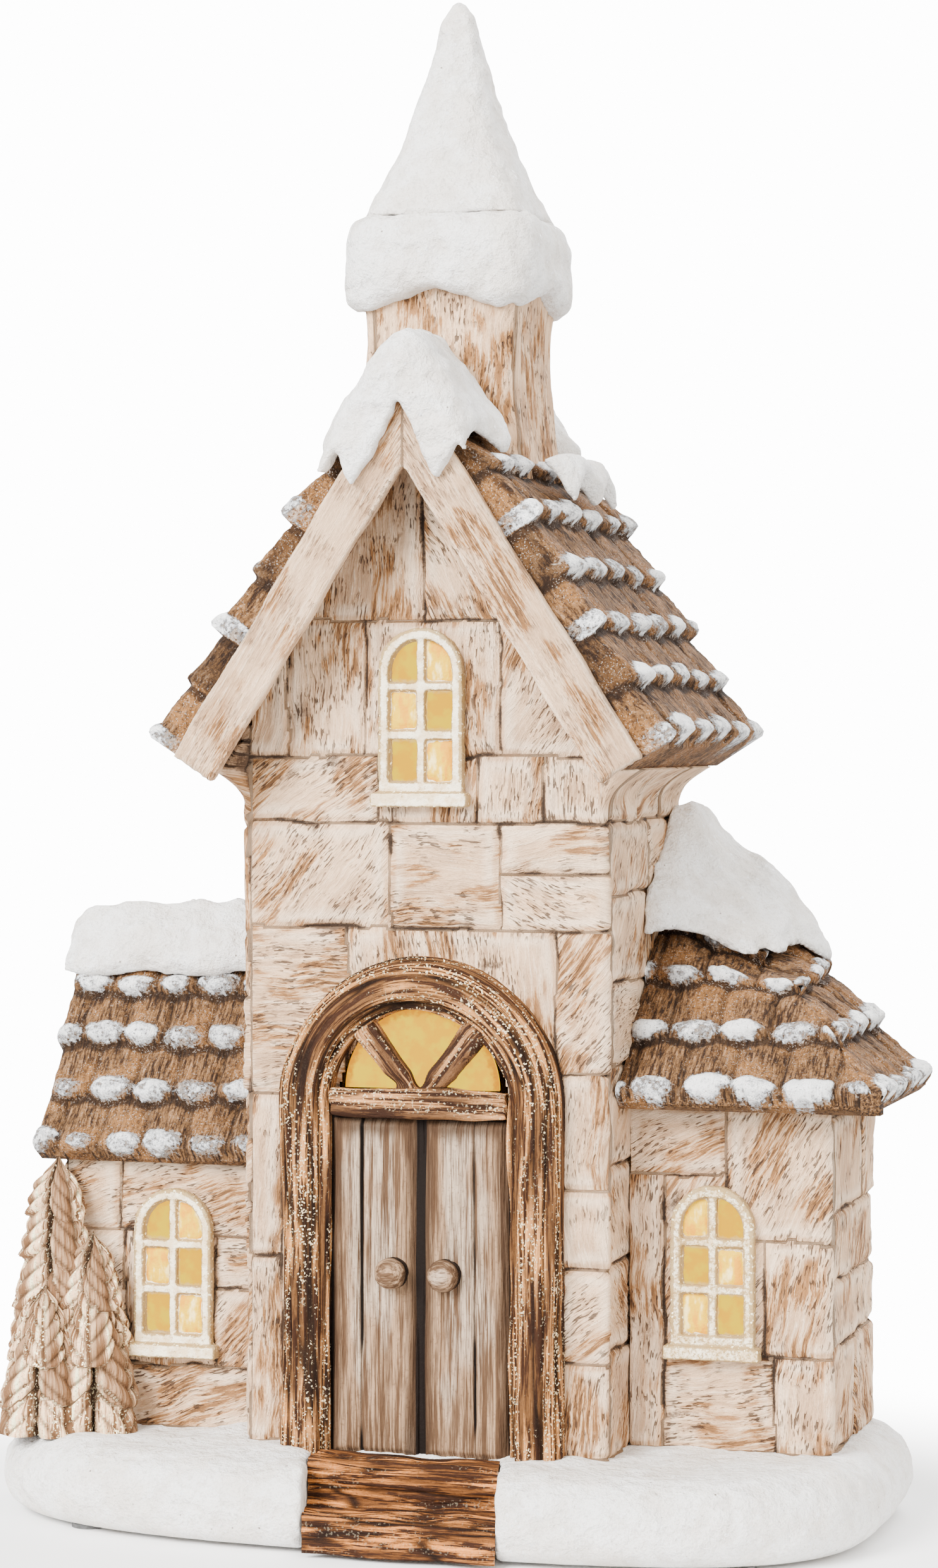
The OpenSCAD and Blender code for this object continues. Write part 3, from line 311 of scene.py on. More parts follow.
class Sock:
    """An output socket that can stand in a Python expression."""

    def __init__(self, paint: "Paint", out: bpy.types.NodeSocket) -> None:
        """Keeps the socket and the material that it belongs to."""
        self.paint = paint
        self.out = out

    def _maths(self, operation: str, first: "Sock | float", second: "Sock | float") -> "Sock":
        """Adds a Math node of an operation on two values."""
        return self.paint.node("ShaderNodeMath", {"operation": operation}, {0: first, 1: second})

    def __add__(self, other: "Sock | float") -> "Sock":
        """Adds a value."""
        return self._maths("ADD", self, other)

    __radd__ = __add__

    def __sub__(self, other: "Sock | float") -> "Sock":
        """Takes a value away."""
        return self._maths("SUBTRACT", self, other)

    def __rsub__(self, other: "Sock | float") -> "Sock":
        """Takes this away from a value."""
        return self._maths("SUBTRACT", other, self)

    def __mul__(self, other: "Sock | float") -> "Sock":
        """Multiplies by a value."""
        return self._maths("MULTIPLY", self, other)

    __rmul__ = __mul__

    def clip(self, low: float, high: float) -> "Sock":
        """Runs smoothly from 0 at low to 1 at high."""
        settings = {"interpolation_type": "SMOOTHSTEP", "clamp": True}
        return self.paint.node("ShaderNodeMapRange", settings, {0: self, 1: low, 2: high, 3: 0.0, 4: 1.0})


class Paint:
    """One node material, with the Principled shader at its end."""

    def __init__(self, name: str) -> None:
        """Makes the material and its shader."""
        self.mat = bpy.data.materials.new(name)
        self.mat.use_nodes = True
        self.tree = self.mat.node_tree
        self.shader = self.tree.nodes["Principled BSDF"]

    def node(self, kind: str, settings: dict[str, object], inputs: dict[int | str, object],
             output: int | str = 0) -> Sock:
        """Adds a node.

        Args:
            kind: Its type.
            settings: Its settings, set first.
            inputs: Values or sockets of its inputs, by number or name.
            output: Which output is wanted.

        Returns:
            That output.
        """
        node = self.tree.nodes.new(kind)
        for key, value in settings.items():
            setattr(node, key, value)
        for key, value in inputs.items():
            if isinstance(value, Sock):
                self.tree.links.new(value.out, node.inputs[key])
            else:
                node.inputs[key].default_value = value
        return Sock(self, node.outputs[output])

    def place(self, stretch: Triple = (1.0, 1.0, 1.0), mark: str = "") -> Sock:
        """Where a point lies in mm, or the vector mark that it carries, stretched along each axis."""
        if mark:
            base = self.node("ShaderNodeAttribute", {"attribute_name": mark}, {}, "Vector")
            scale = stretch
        else:
            base = self.node("ShaderNodeTexCoord", {}, {}, "Object")
            scale = tuple(s / MM for s in stretch)
        return self.node("ShaderNodeVectorMath", {"operation": "MULTIPLY"}, {0: base, 1: scale})

    def mark(self, name: str) -> Sock:
        """The number that a point carries under a name."""
        return self.node("ShaderNodeAttribute", {"attribute_name": name}, {}, "Fac")

    def noise(self, where: Sock, scale: float, detail: float = 2.0, rough: float = 0.55) -> Sock:
        """Smooth noise from about 0 to 1 with a scale in bumps for each mm."""
        return self.node("ShaderNodeTexNoise", {}, {"Vector": where, "Scale": scale, "Detail": detail,
                                                    "Roughness": rough})

    def cells(self, where: Sock, scale: float, output: str = "Distance") -> Sock:
        """Distance to, or random colour of, the nearest of scattered points."""
        return self.node("ShaderNodeTexVoronoi", {}, {"Vector": where, "Scale": scale}, output)

    def mix(self, factor: Sock | float, first: object, second: object) -> Sock:
        """Mixes two colours."""
        fixed = [v if isinstance(v, Sock) else (*v, 1.0) for v in (first, second)]
        return self.node("ShaderNodeMix", {"data_type": "RGBA"}, {0: factor, 6: fixed[0], 7: fixed[1]}, 2)

    def link(self, name: str, value: object) -> None:
        """Gives an input of the shader a value or a socket."""
        if isinstance(value, Sock):
            self.tree.links.new(value.out, self.shader.inputs[name])
        else:
            self.shader.inputs[name].default_value = value

    def bump(self, height: Sock, depth: float) -> None:
        """Bends the light as a relief of some depth in mm does."""
        self.link("Normal", self.node("ShaderNodeBump", {}, {"Distance": depth * MM, "Height": height}))

    def surface(self, colour: Sock, rough: Sock | float, shine: float = 0.5, metal: Sock | float = 0.0) -> None:
        """Gives the shader its colour, roughness, strength of plain reflection and share of metal."""
        for name, value in zip(("Base Color", "Roughness", "Specular IOR Level", "Metallic"),
                               (colour, rough, shine, metal)):
            self.link(name, value)


class Finish:
    """Something that a piece is made of. Each finish makes its material once."""

    made: dict["Finish", bpy.types.Material] = {}

    def paint(self, p: Paint, space: Sock) -> None:
        """Builds the nodes of the finish in its material, from places in mm."""
        raise NotImplementedError

    def material(self) -> bpy.types.Material:
        """The material, which is made the first time that it is wanted."""
        if self not in Finish.made:
            p = Paint(self.name)
            self.paint(p, p.place())
            Finish.made[self] = p.mat
        return Finish.made[self]


CREAM: Colour = (0.73, 0.490, 0.305)
BEIGE: Colour = (0.53, 0.335, 0.200)
DUN: Colour = (0.235, 0.125, 0.062)
TAN: Colour = (0.50, 0.270, 0.110)
CHALK: Colour = (0.88, 0.695, 0.510)
RUST: Colour = (0.275, 0.112, 0.028)
DIRT: Colour = (0.085, 0.038, 0.015)
UMBER: Colour = (0.036, 0.017, 0.009)


@dataclass(frozen=True)
class CombedClay(Finish):
    """Bisque clay with a cream wash, comb strokes, scored dashes and rust dry brushing.

    Strokes run along the first axis of the comb mark. The groove mark is the mortar, the worn mark a pale edge.
    """

    name: str = "combed_clay"
    rust: float = 1.0
    pitch: float = 1.0
    pits: float = 1.0
    shine: float = 0.0
    contrast: float = 1.0

    def paint(self, p: Paint, space: Sock) -> None:
        """Builds the nodes."""
        fibre = p.noise(p.place((0.12, 1.15 * self.pitch, 1.15), "comb"), 1.0, 4.0, 0.74)
        dash = p.noise(p.place((0.42, 2.2 * self.pitch, 2.2), "comb"), 1.0, 1.0)
        patch = p.noise(p.place((0.052, 0.105, 0.105), "comb"), 1.0, 2.0)
        cloud, blot = p.noise(space, 0.06, 3.0), p.noise(space, 0.115, 2.0)
        crumb = p.noise(space, 1.5, 3.0, 0.7)
        hollow = 1.0 - fibre.clip(0.42, 0.53)
        ridge = fibre.clip(0.54, 0.66)
        scored = dash.clip(0.58, 0.64) * blot.clip(0.42, 0.56) * self.pits
        pit = crumb.clip(0.66, 0.72) * self.pits
        stain = patch.clip(0.48, 0.62) * self.rust
        brush = (stain * (0.36 + hollow * 1.1)).clip(0.10, 0.74)
        deep = patch.clip(0.53, 0.65) * (1.0 - fibre.clip(0.40, 0.52)) * self.rust
        groove, worn = p.mark("groove"), p.mark("worn")
        base = p.mix(cloud.clip(0.36, 0.62), BEIGE, CREAM)
        base = p.mix(hollow * (0.22 + blot.clip(0.44, 0.62) * 0.42) * self.contrast, base, DUN)
        base = p.mix(patch.clip(0.44, 0.66) * 0.42 * self.rust, base, TAN)
        base = p.mix(brush * 0.82, base, RUST)
        base = p.mix(deep * 0.80, base, DIRT)
        base = p.mix(ridge * 0.50, base, CHALK)
        base = p.mix(worn * (1.0 - stain) * 0.50, base, CHALK)
        base = p.mix(scored * 0.85, base, UMBER)
        base = p.mix(pit * 0.70, base, DIRT)
        line = (groove + (crumb - 0.5) * 0.7 + (blot - 0.5) * 1.1).clip(0.34, 0.82)
        base = p.mix(line * 0.88, base, UMBER)
        p.surface(base, 0.80 - self.shine + crumb * 0.12, 0.30)
        p.bump(fibre * 1.1 + crumb * 0.25 - scored * 0.8, 1.05)


@dataclass(frozen=True)
class TileClay(Finish):
    """Brown stained tiles with streaks, painted shadow under each course and between tiles, and white snow dabs on
    their tips.
    """

    name: str = "tile_clay"

    def paint(self, p: Paint, space: Sock) -> None:
        """Builds the nodes."""
        streak = p.noise(p.place((1.5, 0.17, 1.5), "comb"), 1.0, 4.0, 0.72)
        crumb = p.noise(space, 1.3, 4.0, 0.75)
        cloud = p.noise(space, 0.10, 3.0)
        lap_shadow, dab = p.mark("groove"), p.mark("snow")
        brown = p.mix(streak.clip(0.40, 0.58), (0.022, 0.010, 0.005), (0.205, 0.103, 0.041))
        brown = p.mix(cloud.clip(0.46, 0.62) * 0.60, brown, (0.300, 0.134, 0.042))
        brown = p.mix(streak.clip(0.56, 0.68) * 0.50, brown, (0.44, 0.285, 0.175))
        brown = p.mix((1.0 - crumb.clip(0.38, 0.50)) * 0.70, brown, (0.018, 0.009, 0.006))
        # Painted shadow: near black under each course and along the sides of each tile, carried by the groove mark.
        brown = p.mix(lap_shadow.clip(0.05, 0.75) * 0.86, brown, (0.014, 0.007, 0.004))
        salt = p.noise(space, 2.3, 2.0, 0.8).clip(0.58, 0.66) * (0.25 + cloud.clip(0.42, 0.60) * 0.75)
        frost = (dab + (crumb - 0.5) * 2.2).clip(0.16, 0.55) * 0.55
        brown = p.mix((salt * 0.60 + frost).clip(0.0, 1.0), brown, (0.54, 0.47, 0.41))
        ragged = (crumb - 0.5) * 1.4 + (p.noise(space, 0.45, 2.0) - 0.5) * 1.3
        cover = (dab + ragged).clip(0.36, 0.60)
        bright = (dab + ragged * 0.8).clip(0.50, 0.95)
        specks = p.noise(space, 2.2, 2.0, 0.8).clip(0.59, 0.67) * (1.0 - dab.clip(0.7, 1.2) * 0.55)
        white = p.mix(bright, (0.42, 0.43, 0.45), (0.93, 0.93, 0.92))
        white = p.mix(specks * 0.9, white, (0.06, 0.05, 0.045))
        p.surface(p.mix(cover, brown, white), 0.85 - cover * 0.12, 0.15)
        p.bump(crumb * 0.65 + streak * 0.75 + cover * 0.35, 1.1)


@dataclass(frozen=True)
class SnowPaint(Finish):
    """Thick white snow with fine grains, sparse dark specks and glitter."""

    name: str = "snow_paint"

    def paint(self, p: Paint, space: Sock) -> None:
        """Builds the nodes."""
        cloud = p.noise(space, 0.09, 3.0)
        grit = p.noise(space, 1.5, 4.0, 0.75)
        lump = p.noise(space, 0.24, 4.0, 0.6)
        shine = p.cells(space, 1.5, "Color").clip(0.86, 0.90)
        dots = p.cells(space, 0.23)
        speck = (1.0 - dots.clip(0.03, 0.075)) * p.noise(space, 0.5, 1.0).clip(0.44, 0.50)
        white = p.mix(cloud.clip(0.34, 0.62), (0.84, 0.79, 0.73), (0.93, 0.92, 0.90))
        white = p.mix((1.0 - lump.clip(0.34, 0.52)) * 0.45, white, (0.66, 0.600, 0.540))
        white = p.mix((1.0 - grit.clip(0.36, 0.50)) * 0.42, white, (0.56, 0.51, 0.46))
        white = p.mix(shine * 0.6, white, (0.97, 0.98, 1.0))
        white = p.mix(speck * 0.85, white, (0.12, 0.08, 0.055))
        p.surface(white, 0.72 - shine * 0.42, 0.45)
        p.bump(grit * 0.50 + lump * 2.2 + shine * 0.2, 1.4)


@dataclass(frozen=True)
class Glitter(Finish):
    """Stained clay under a coat of glitter flakes, with furrows along the comb mark."""

    name: str
    dark: Colour
    light: Colour
    flake: Colour
    amount: float = 1.0
    furrow: float = 1.0

    def paint(self, p: Paint, space: Sock) -> None:
        """Builds the nodes."""
        streak = p.noise(p.place((0.05, 0.75 * self.furrow, 0.75), "comb"), 1.0, 4.0, 0.72)
        broad = p.noise(p.place((0.025, 0.22 * self.furrow, 0.22), "comb"), 1.0, 2.0)
        crumb = p.noise(space, 1.4, 3.0, 0.7)
        low = p.mark("groove")
        flakes = p.cells(space, 2.8, "Color")
        band = (broad + (crumb - 0.5) * 0.5).clip(0.44, 0.58)
        glint = (flakes.clip(0.72, 0.76) * (0.05 + band * 1.1) * self.amount).clip(0.0, 1.0)
        black = tuple(c * 0.30 for c in self.dark)
        base = p.mix(streak.clip(0.455, 0.55), self.dark, tuple(c * 1.5 for c in self.light))
        base = p.mix(streak.clip(0.55, 0.66) * 0.75, base, tuple(min(c * 2.5, 0.9) for c in self.light))
        base = p.mix((1.0 - broad.clip(0.42, 0.54)) * 0.80, base, self.dark)
        base = p.mix((1.0 - crumb.clip(0.3, 0.46)) * 0.45, base, self.dark)
        # Darker at the bottoms of the bark and log furrows and in the gaps and rib valleys between fronds: stain that
        # gathers there, and painted shade.
        base = p.mix(low * 0.95, base, black)
        p.surface(p.mix(glint, base, self.flake), 0.78 - glint * 0.45, 0.12, glint * 0.75)
        p.bump(streak * 1.2 + crumb * 0.2 + glint * 0.3, 1.05)


@dataclass(frozen=True)
class GiltIvory(Finish):
    """Ivory paint with gold glitter, which gathers where the groove mark is."""

    name: str = "gilt_ivory"
    gilt: float = 0.0

    def paint(self, p: Paint, space: Sock) -> None:
        """Builds the nodes."""
        grit, cloud = p.noise(space, 1.3, 3.0, 0.7), p.noise(space, 0.35, 2.0)
        gold = (p.mark("groove") + (grit - 0.5) * 2.0 + self.gilt).clip(0.14, 0.54)
        glint = p.cells(space, 2.4, "Color").clip(0.80, 0.85) * (0.20 + gold * 0.80)
        base = p.mix(cloud.clip(0.38, 0.60), (0.72, 0.55, 0.33), (0.92, 0.81, 0.60))
        base = p.mix(gold * 0.88, base, (0.30, 0.180, 0.050))
        p.surface(p.mix(glint, base, (1.0, 0.90, 0.60)), 0.70 - glint * 0.40, metal=glint * 0.6)
        p.bump(grit + glint * 0.3, 0.5)


@dataclass(frozen=True)
class DoorClay(Finish):
    """Grey brown door boards: fine upright grain, pale middles, dark joints, and painted shade along the edges, under
    the top and in the gaps.
    """

    name: str = "door_clay"

    def paint(self, p: Paint, space: Sock) -> None:
        """Builds the nodes."""
        grainy = p.noise(p.place((0.030, 0.80, 0.80), "comb"), 1.0, 4.0, 0.72)
        fine = p.noise(p.place((0.09, 2.9, 2.9), "comb"), 1.0, 2.0)
        cloud = p.noise(p.place((0.035, 0.11, 0.11), "comb"), 1.0, 3.0)
        crumb = p.noise(space, 1.2, 3.0, 0.7)
        joint_and_shadow, worn, dirt = p.mark("groove"), p.mark("worn"), p.mark("dirt")
        base = p.mix(grainy.clip(0.42, 0.57), (0.085, 0.045, 0.023), (0.31, 0.195, 0.115))
        pale = (cloud + (worn - 0.5) * 0.25).clip(0.44, 0.62)
        base = p.mix(pale * grainy.clip(0.38, 0.52) * 0.70, base, (0.47, 0.365, 0.270))
        base = p.mix((1.0 - fine.clip(0.38, 0.48)) * 0.66, base, (0.060, 0.031, 0.016))
        base = p.mix((1.0 - crumb.clip(0.32, 0.46)) * 0.45, base, (0.09, 0.048, 0.026))
        # Painted shade: darker along the sides of each leaf and under its top, where the surround and the beam shade
        # it, on the strip behind the gap and round the foot of each knob.
        base = p.mix((dirt + (cloud - 0.5) * 1.1).clip(0.10, 0.80) * 0.86, base, (0.040, 0.020, 0.010))
        # Near black: dark joints between the boards, and painted shadow on the rim of each leaf, on the strip behind
        # the gap and in the knobs' necks.
        base = p.mix(joint_and_shadow.clip(0.05, 0.7) * 0.985, base, (0.0035, 0.0015, 0.0008))
        p.surface(base, 0.80 - grainy * 0.08, 0.12)
        p.bump(grainy * 1.1 + fine * 0.45 + crumb * 0.15, 1.0)


@dataclass(frozen=True)
class AmberPane(Finish):
    """A lit amber film: bright in its middle, deeper towards its edge, with faint smears."""

    name: str = "amber_pane"
    rim: Colour = (0.66, 0.22, 0.0)

    def paint(self, p: Paint, space: Sock) -> None:
        """Builds the nodes."""
        smear = p.noise(space, 0.25, 3.0)
        ripple = p.noise(space, 0.9, 2.0)
        amber = p.mix(smear.clip(0.42, 0.62), (1.0, 0.50, 0.0), (1.0, 0.65, 0.0))
        amber = p.mix((p.mark("groove") + (ripple - 0.5) * 1.2).clip(0.3, 1.0) * 0.85, amber, self.rim)
        p.surface(p.mix(0.96, amber, (0.004, 0.002, 0.0)), 0.40 + ripple * 0.15, 0.0)
        # The glow is painted light: the film is no lamp, and its emission stands for the LEDs that shine through it.
        p.link("Emission Color", amber)
        p.link("Emission Strength", 1.7)
        p.bump(ripple, 0.12)


@dataclass(frozen=True)
class BlindPane(Finish):
    """A painted pane of pale yellow clay with strokes of cream, gold and orange."""

    name: str = "blind_pane"

    def paint(self, p: Paint, space: Sock) -> None:
        """Builds the nodes."""
        stroke = p.noise(p.place((0.42, 0.42, 0.17)), 1.0, 3.0)
        ripple = p.noise(space, 1.2, 2.0)
        tone = p.mix(stroke.clip(0.38, 0.52), (0.64, 0.27, 0.004), (0.66, 0.40, 0.006))
        tone = p.mix(stroke.clip(0.52, 0.66), tone, (0.88, 0.68, 0.26))
        tone = p.mix((p.mark("groove") + (ripple - 0.5)).clip(0.3, 1.0) * 0.7, tone, (0.60, 0.25, 0.01))
        p.surface(tone, 0.55 + ripple * 0.2, 0.10)
        p.bump(ripple, 0.25)


@dataclass(frozen=True)
class Fabricated(Finish):
    """A plain made material of the light unit: moulded plastic, metal, board or felt."""

    name: str
    colour: Colour
    second: Colour
    metal: float = 0.0
    rough: float = 0.5
    size: float = 1.2
    depth: float = 0.05

    def paint(self, p: Paint, space: Sock) -> None:
        """Builds the nodes."""
        soft, fine = p.noise(space, 0.2, 2.0), p.noise(space, self.size, 3.0, 0.7)
        tone = p.mix((soft * 0.5 + fine * 0.5).clip(0.35, 0.65), self.colour, self.second)
        p.surface(tone, self.rough + (fine - 0.5) * 0.25, metal=self.metal)
        p.bump(fine, self.depth)


@dataclass(frozen=True)
class Block:
    """One block of a wall face: its box across and up the face, and the turn of its comb strokes."""

    left: float
    right: float
    low: float
    high: float
    turn: float


def blocks_over(left: float, right: float, low: float, high: float, seed: int, course: float = 19.0,
                width: float = 26.0) -> list[Block]:
    """Lays irregular courses of blocks over a face.

    Args:
        left: Start of the face.
        right: End of the face.
        low: Foot of the face.
        high: Top of the face.
        seed: Picks the pattern.
        course: Usual height of a course.
        width: Usual width of a block.

    Returns:
        The blocks.
    """
    rng = np.random.default_rng(seed)
    out, z = [], low
    while z < high - 1:
        top = min(z + course * rng.uniform(0.7, 1.35), high)
        x = left
        while x < right - 1:
            end = min(x + width * rng.uniform(0.6, 1.5), right)
            end = right if right - end < width * 0.35 else end
            out.append(Block(x, end, z, top, float(rng.choice([5, 20, 50, 62, 85, 90, 120, 135]))))
            x = end
        z = top
    return out


@dataclass
class Masonry:
    """The relief of one wall face: mortar grooves round its blocks, and strokes that turn with each block."""

    blocks: list[Block]
    seed: int
    depth: float = 0.9
    width: float = 0.55
    stroke: float = 0.45

    def relief(self, across: Array, up: Array) -> tuple[Array, Array, Array, Array]:
        """Works out the face at points of it.

        Args:
            across: Place along the face in mm.
            up: Height in mm.

        Returns:
            The height of the relief, the groove and worn marks, and the comb coordinates.
        """
        flat = np.stack([across, up, np.full_like(across, 3.7 * self.seed)], 1)
        x = across + 0.95 * grain(flat, 8, self.seed + 1, 2)
        z = up + 0.95 * grain(flat, 8, self.seed + 2, 2)
        thin = self.width * (0.85 + 0.55 * grain(flat, 10, self.seed + 3))
        height, groove, worn = np.zeros_like(x), np.zeros_like(x), np.zeros_like(x)
        comb = np.stack([across, up, np.zeros_like(x)], 1)
        for i, b in enumerate(self.blocks):
            inside = (x >= b.left) & (x < b.right) & (z >= b.low) & (z < b.high)
            d = np.minimum(np.minimum(x - b.left, b.right - x), np.minimum(z - b.low, b.high - z))
            d = np.where(inside, d, 99.0)
            cut = np.exp(-((d / thin) ** 2))
            groove = np.where(inside, cut, groove)
            worn = np.where(inside, ease(d, 0.9, 1.8) * (1 - ease(d, 1.8, 4.5)), worn)
            tilt = 0.30 * math.sin(i * 2.3 + self.seed)
            mid = (b.left + b.right) / 2
            lean = 0.35 * math.cos(i * 1.7) * (x - mid) / max(b.right - b.left, 1)
            height = np.where(inside, tilt + lean - self.depth * cut - 0.22 * (1 - ease(d, 0.4, 1.6)), height)
            a = math.radians(b.turn)
            bend = 1.2 * grain(flat, 14, self.seed + 30 + i)
            run = np.stack([x * math.cos(a) + z * math.sin(a), -x * math.sin(a) + z * math.cos(a) + bend,
                            np.full_like(x, 7.0 * i)], 1)
            comb = np.where(inside[:, None], run, comb)
        broken = groove * ease(grain(flat, 8, self.seed + 5, 2), -0.50, 0.05)
        height += 0.8 * (groove - broken) * self.depth
        scratch = grain(comb, (12.0, 1.5, 50.0), self.seed + 9, 2)
        line = np.exp(-((grain(comb, (19.0, 2.3, 50.0), self.seed + 10) / 0.10) ** 2))
        line *= ease(grain(comb, (16.0, 9.0, 50.0), self.seed + 11, 2), -0.15, 0.35)
        height += self.stroke * (scratch - 0.9 * line) + 0.40 * grain(flat, 11, self.seed + 7, 2)
        return height, np.maximum(broken, 0.55 * line), worn, comb


@dataclass
class Sheath:
    """A wall skin that is wrapped round a plan with rounded corners."""

    corners: list[tuple[float, float]]
    low: float
    high: float
    faces: list[Masonry]
    radius: float = 2.2
    across: float = 0.9
    up: float = 0.9
    fine: tuple[int, ...] = ()
    fine_step: float = 0.62
    closed: bool = False

    def _walk(self) -> tuple[Array, Array, Array]:
        """Steps along the plan.

        Returns:
            Points, outward normals and the number of the face.
        """
        plan = [np.array(c, float) for c in self.corners]
        count = len(plan) if self.closed else len(plan) - 1
        rows: list[tuple[Array, Array, int]] = []
        for k in range(count):
            a, b = plan[k], plan[(k + 1) % len(plan)]
            run = unit(b - a)
            out = np.array([run[1], -run[0]])
            length = float(np.linalg.norm(b - a))
            start = self.radius if self.closed or k > 0 else 0.0
            end = length - (self.radius if self.closed or k < count - 1 else 0.0)
            step = self.fine_step if k in self.fine else self.across
            rows += [(a + run * s, out, k) for s in np.linspace(start, end, max(2, round((end - start) / step) + 1))]
            if self.closed or k < count - 1:
                c = plan[(k + 2) % len(plan)]
                turn = unit(c - b)
                mid = b - run * self.radius + turn * self.radius
                after = np.array([turn[1], -turn[0]])
                for t in (0.25, 0.5, 0.75):
                    n = unit(out * (1 - t) + after * t)
                    rows.append((mid + n * self.radius, n, k))
        points, normals, which = (np.array(column) for column in zip(*rows))
        return points, normals, which

    def build(self, form: Form, keep: Keep, coordinate: Place, flare: Flare | None = None) -> None:
        """Adds the skin to a form.

        Args:
            form: Takes the skin.
            keep: Takes x, y, z and the face number of cell centres and says which stay.
            coordinate: Takes a face number and the x and y of its points and gives their place across the face.
            flare: Takes heights and normals and gives how far the skin steps out.
        """
        plan, normals, which = self._walk()
        levels = np.linspace(self.low, self.high, max(2, round((self.high - self.low) / self.up) + 1))
        rows, cols = len(levels), len(plan)
        z = np.repeat(levels, cols)
        xy, n2, face = np.tile(plan, (rows, 1)), np.tile(normals, (rows, 1)), np.tile(which, rows)
        height, groove, worn, comb = np.zeros(len(z)), np.zeros(len(z)), np.zeros(len(z)), np.zeros((len(z), 3))
        for k, masonry in enumerate(self.faces):
            sel = face == k
            height[sel], groove[sel], worn[sel], comb[sel] = masonry.relief(
                coordinate(k, xy[sel, 0], xy[sel, 1]), z[sel])
        out = height + (flare(z, n2) if flare else 0.0)
        grid = np.column_stack([xy + n2 * out[:, None], z]).reshape(rows, cols, 3)
        nxt = np.roll(grid, -1, axis=1)
        centre = (grid[:-1] + grid[1:] + nxt[:-1] + nxt[1:]) / 4
        cell = keep(centre[..., 0], centre[..., 1], centre[..., 2], np.tile(which, (rows - 1, 1)))
        form.grid(grid, cell, self.closed, groove=groove, worn=worn, comb=comb)


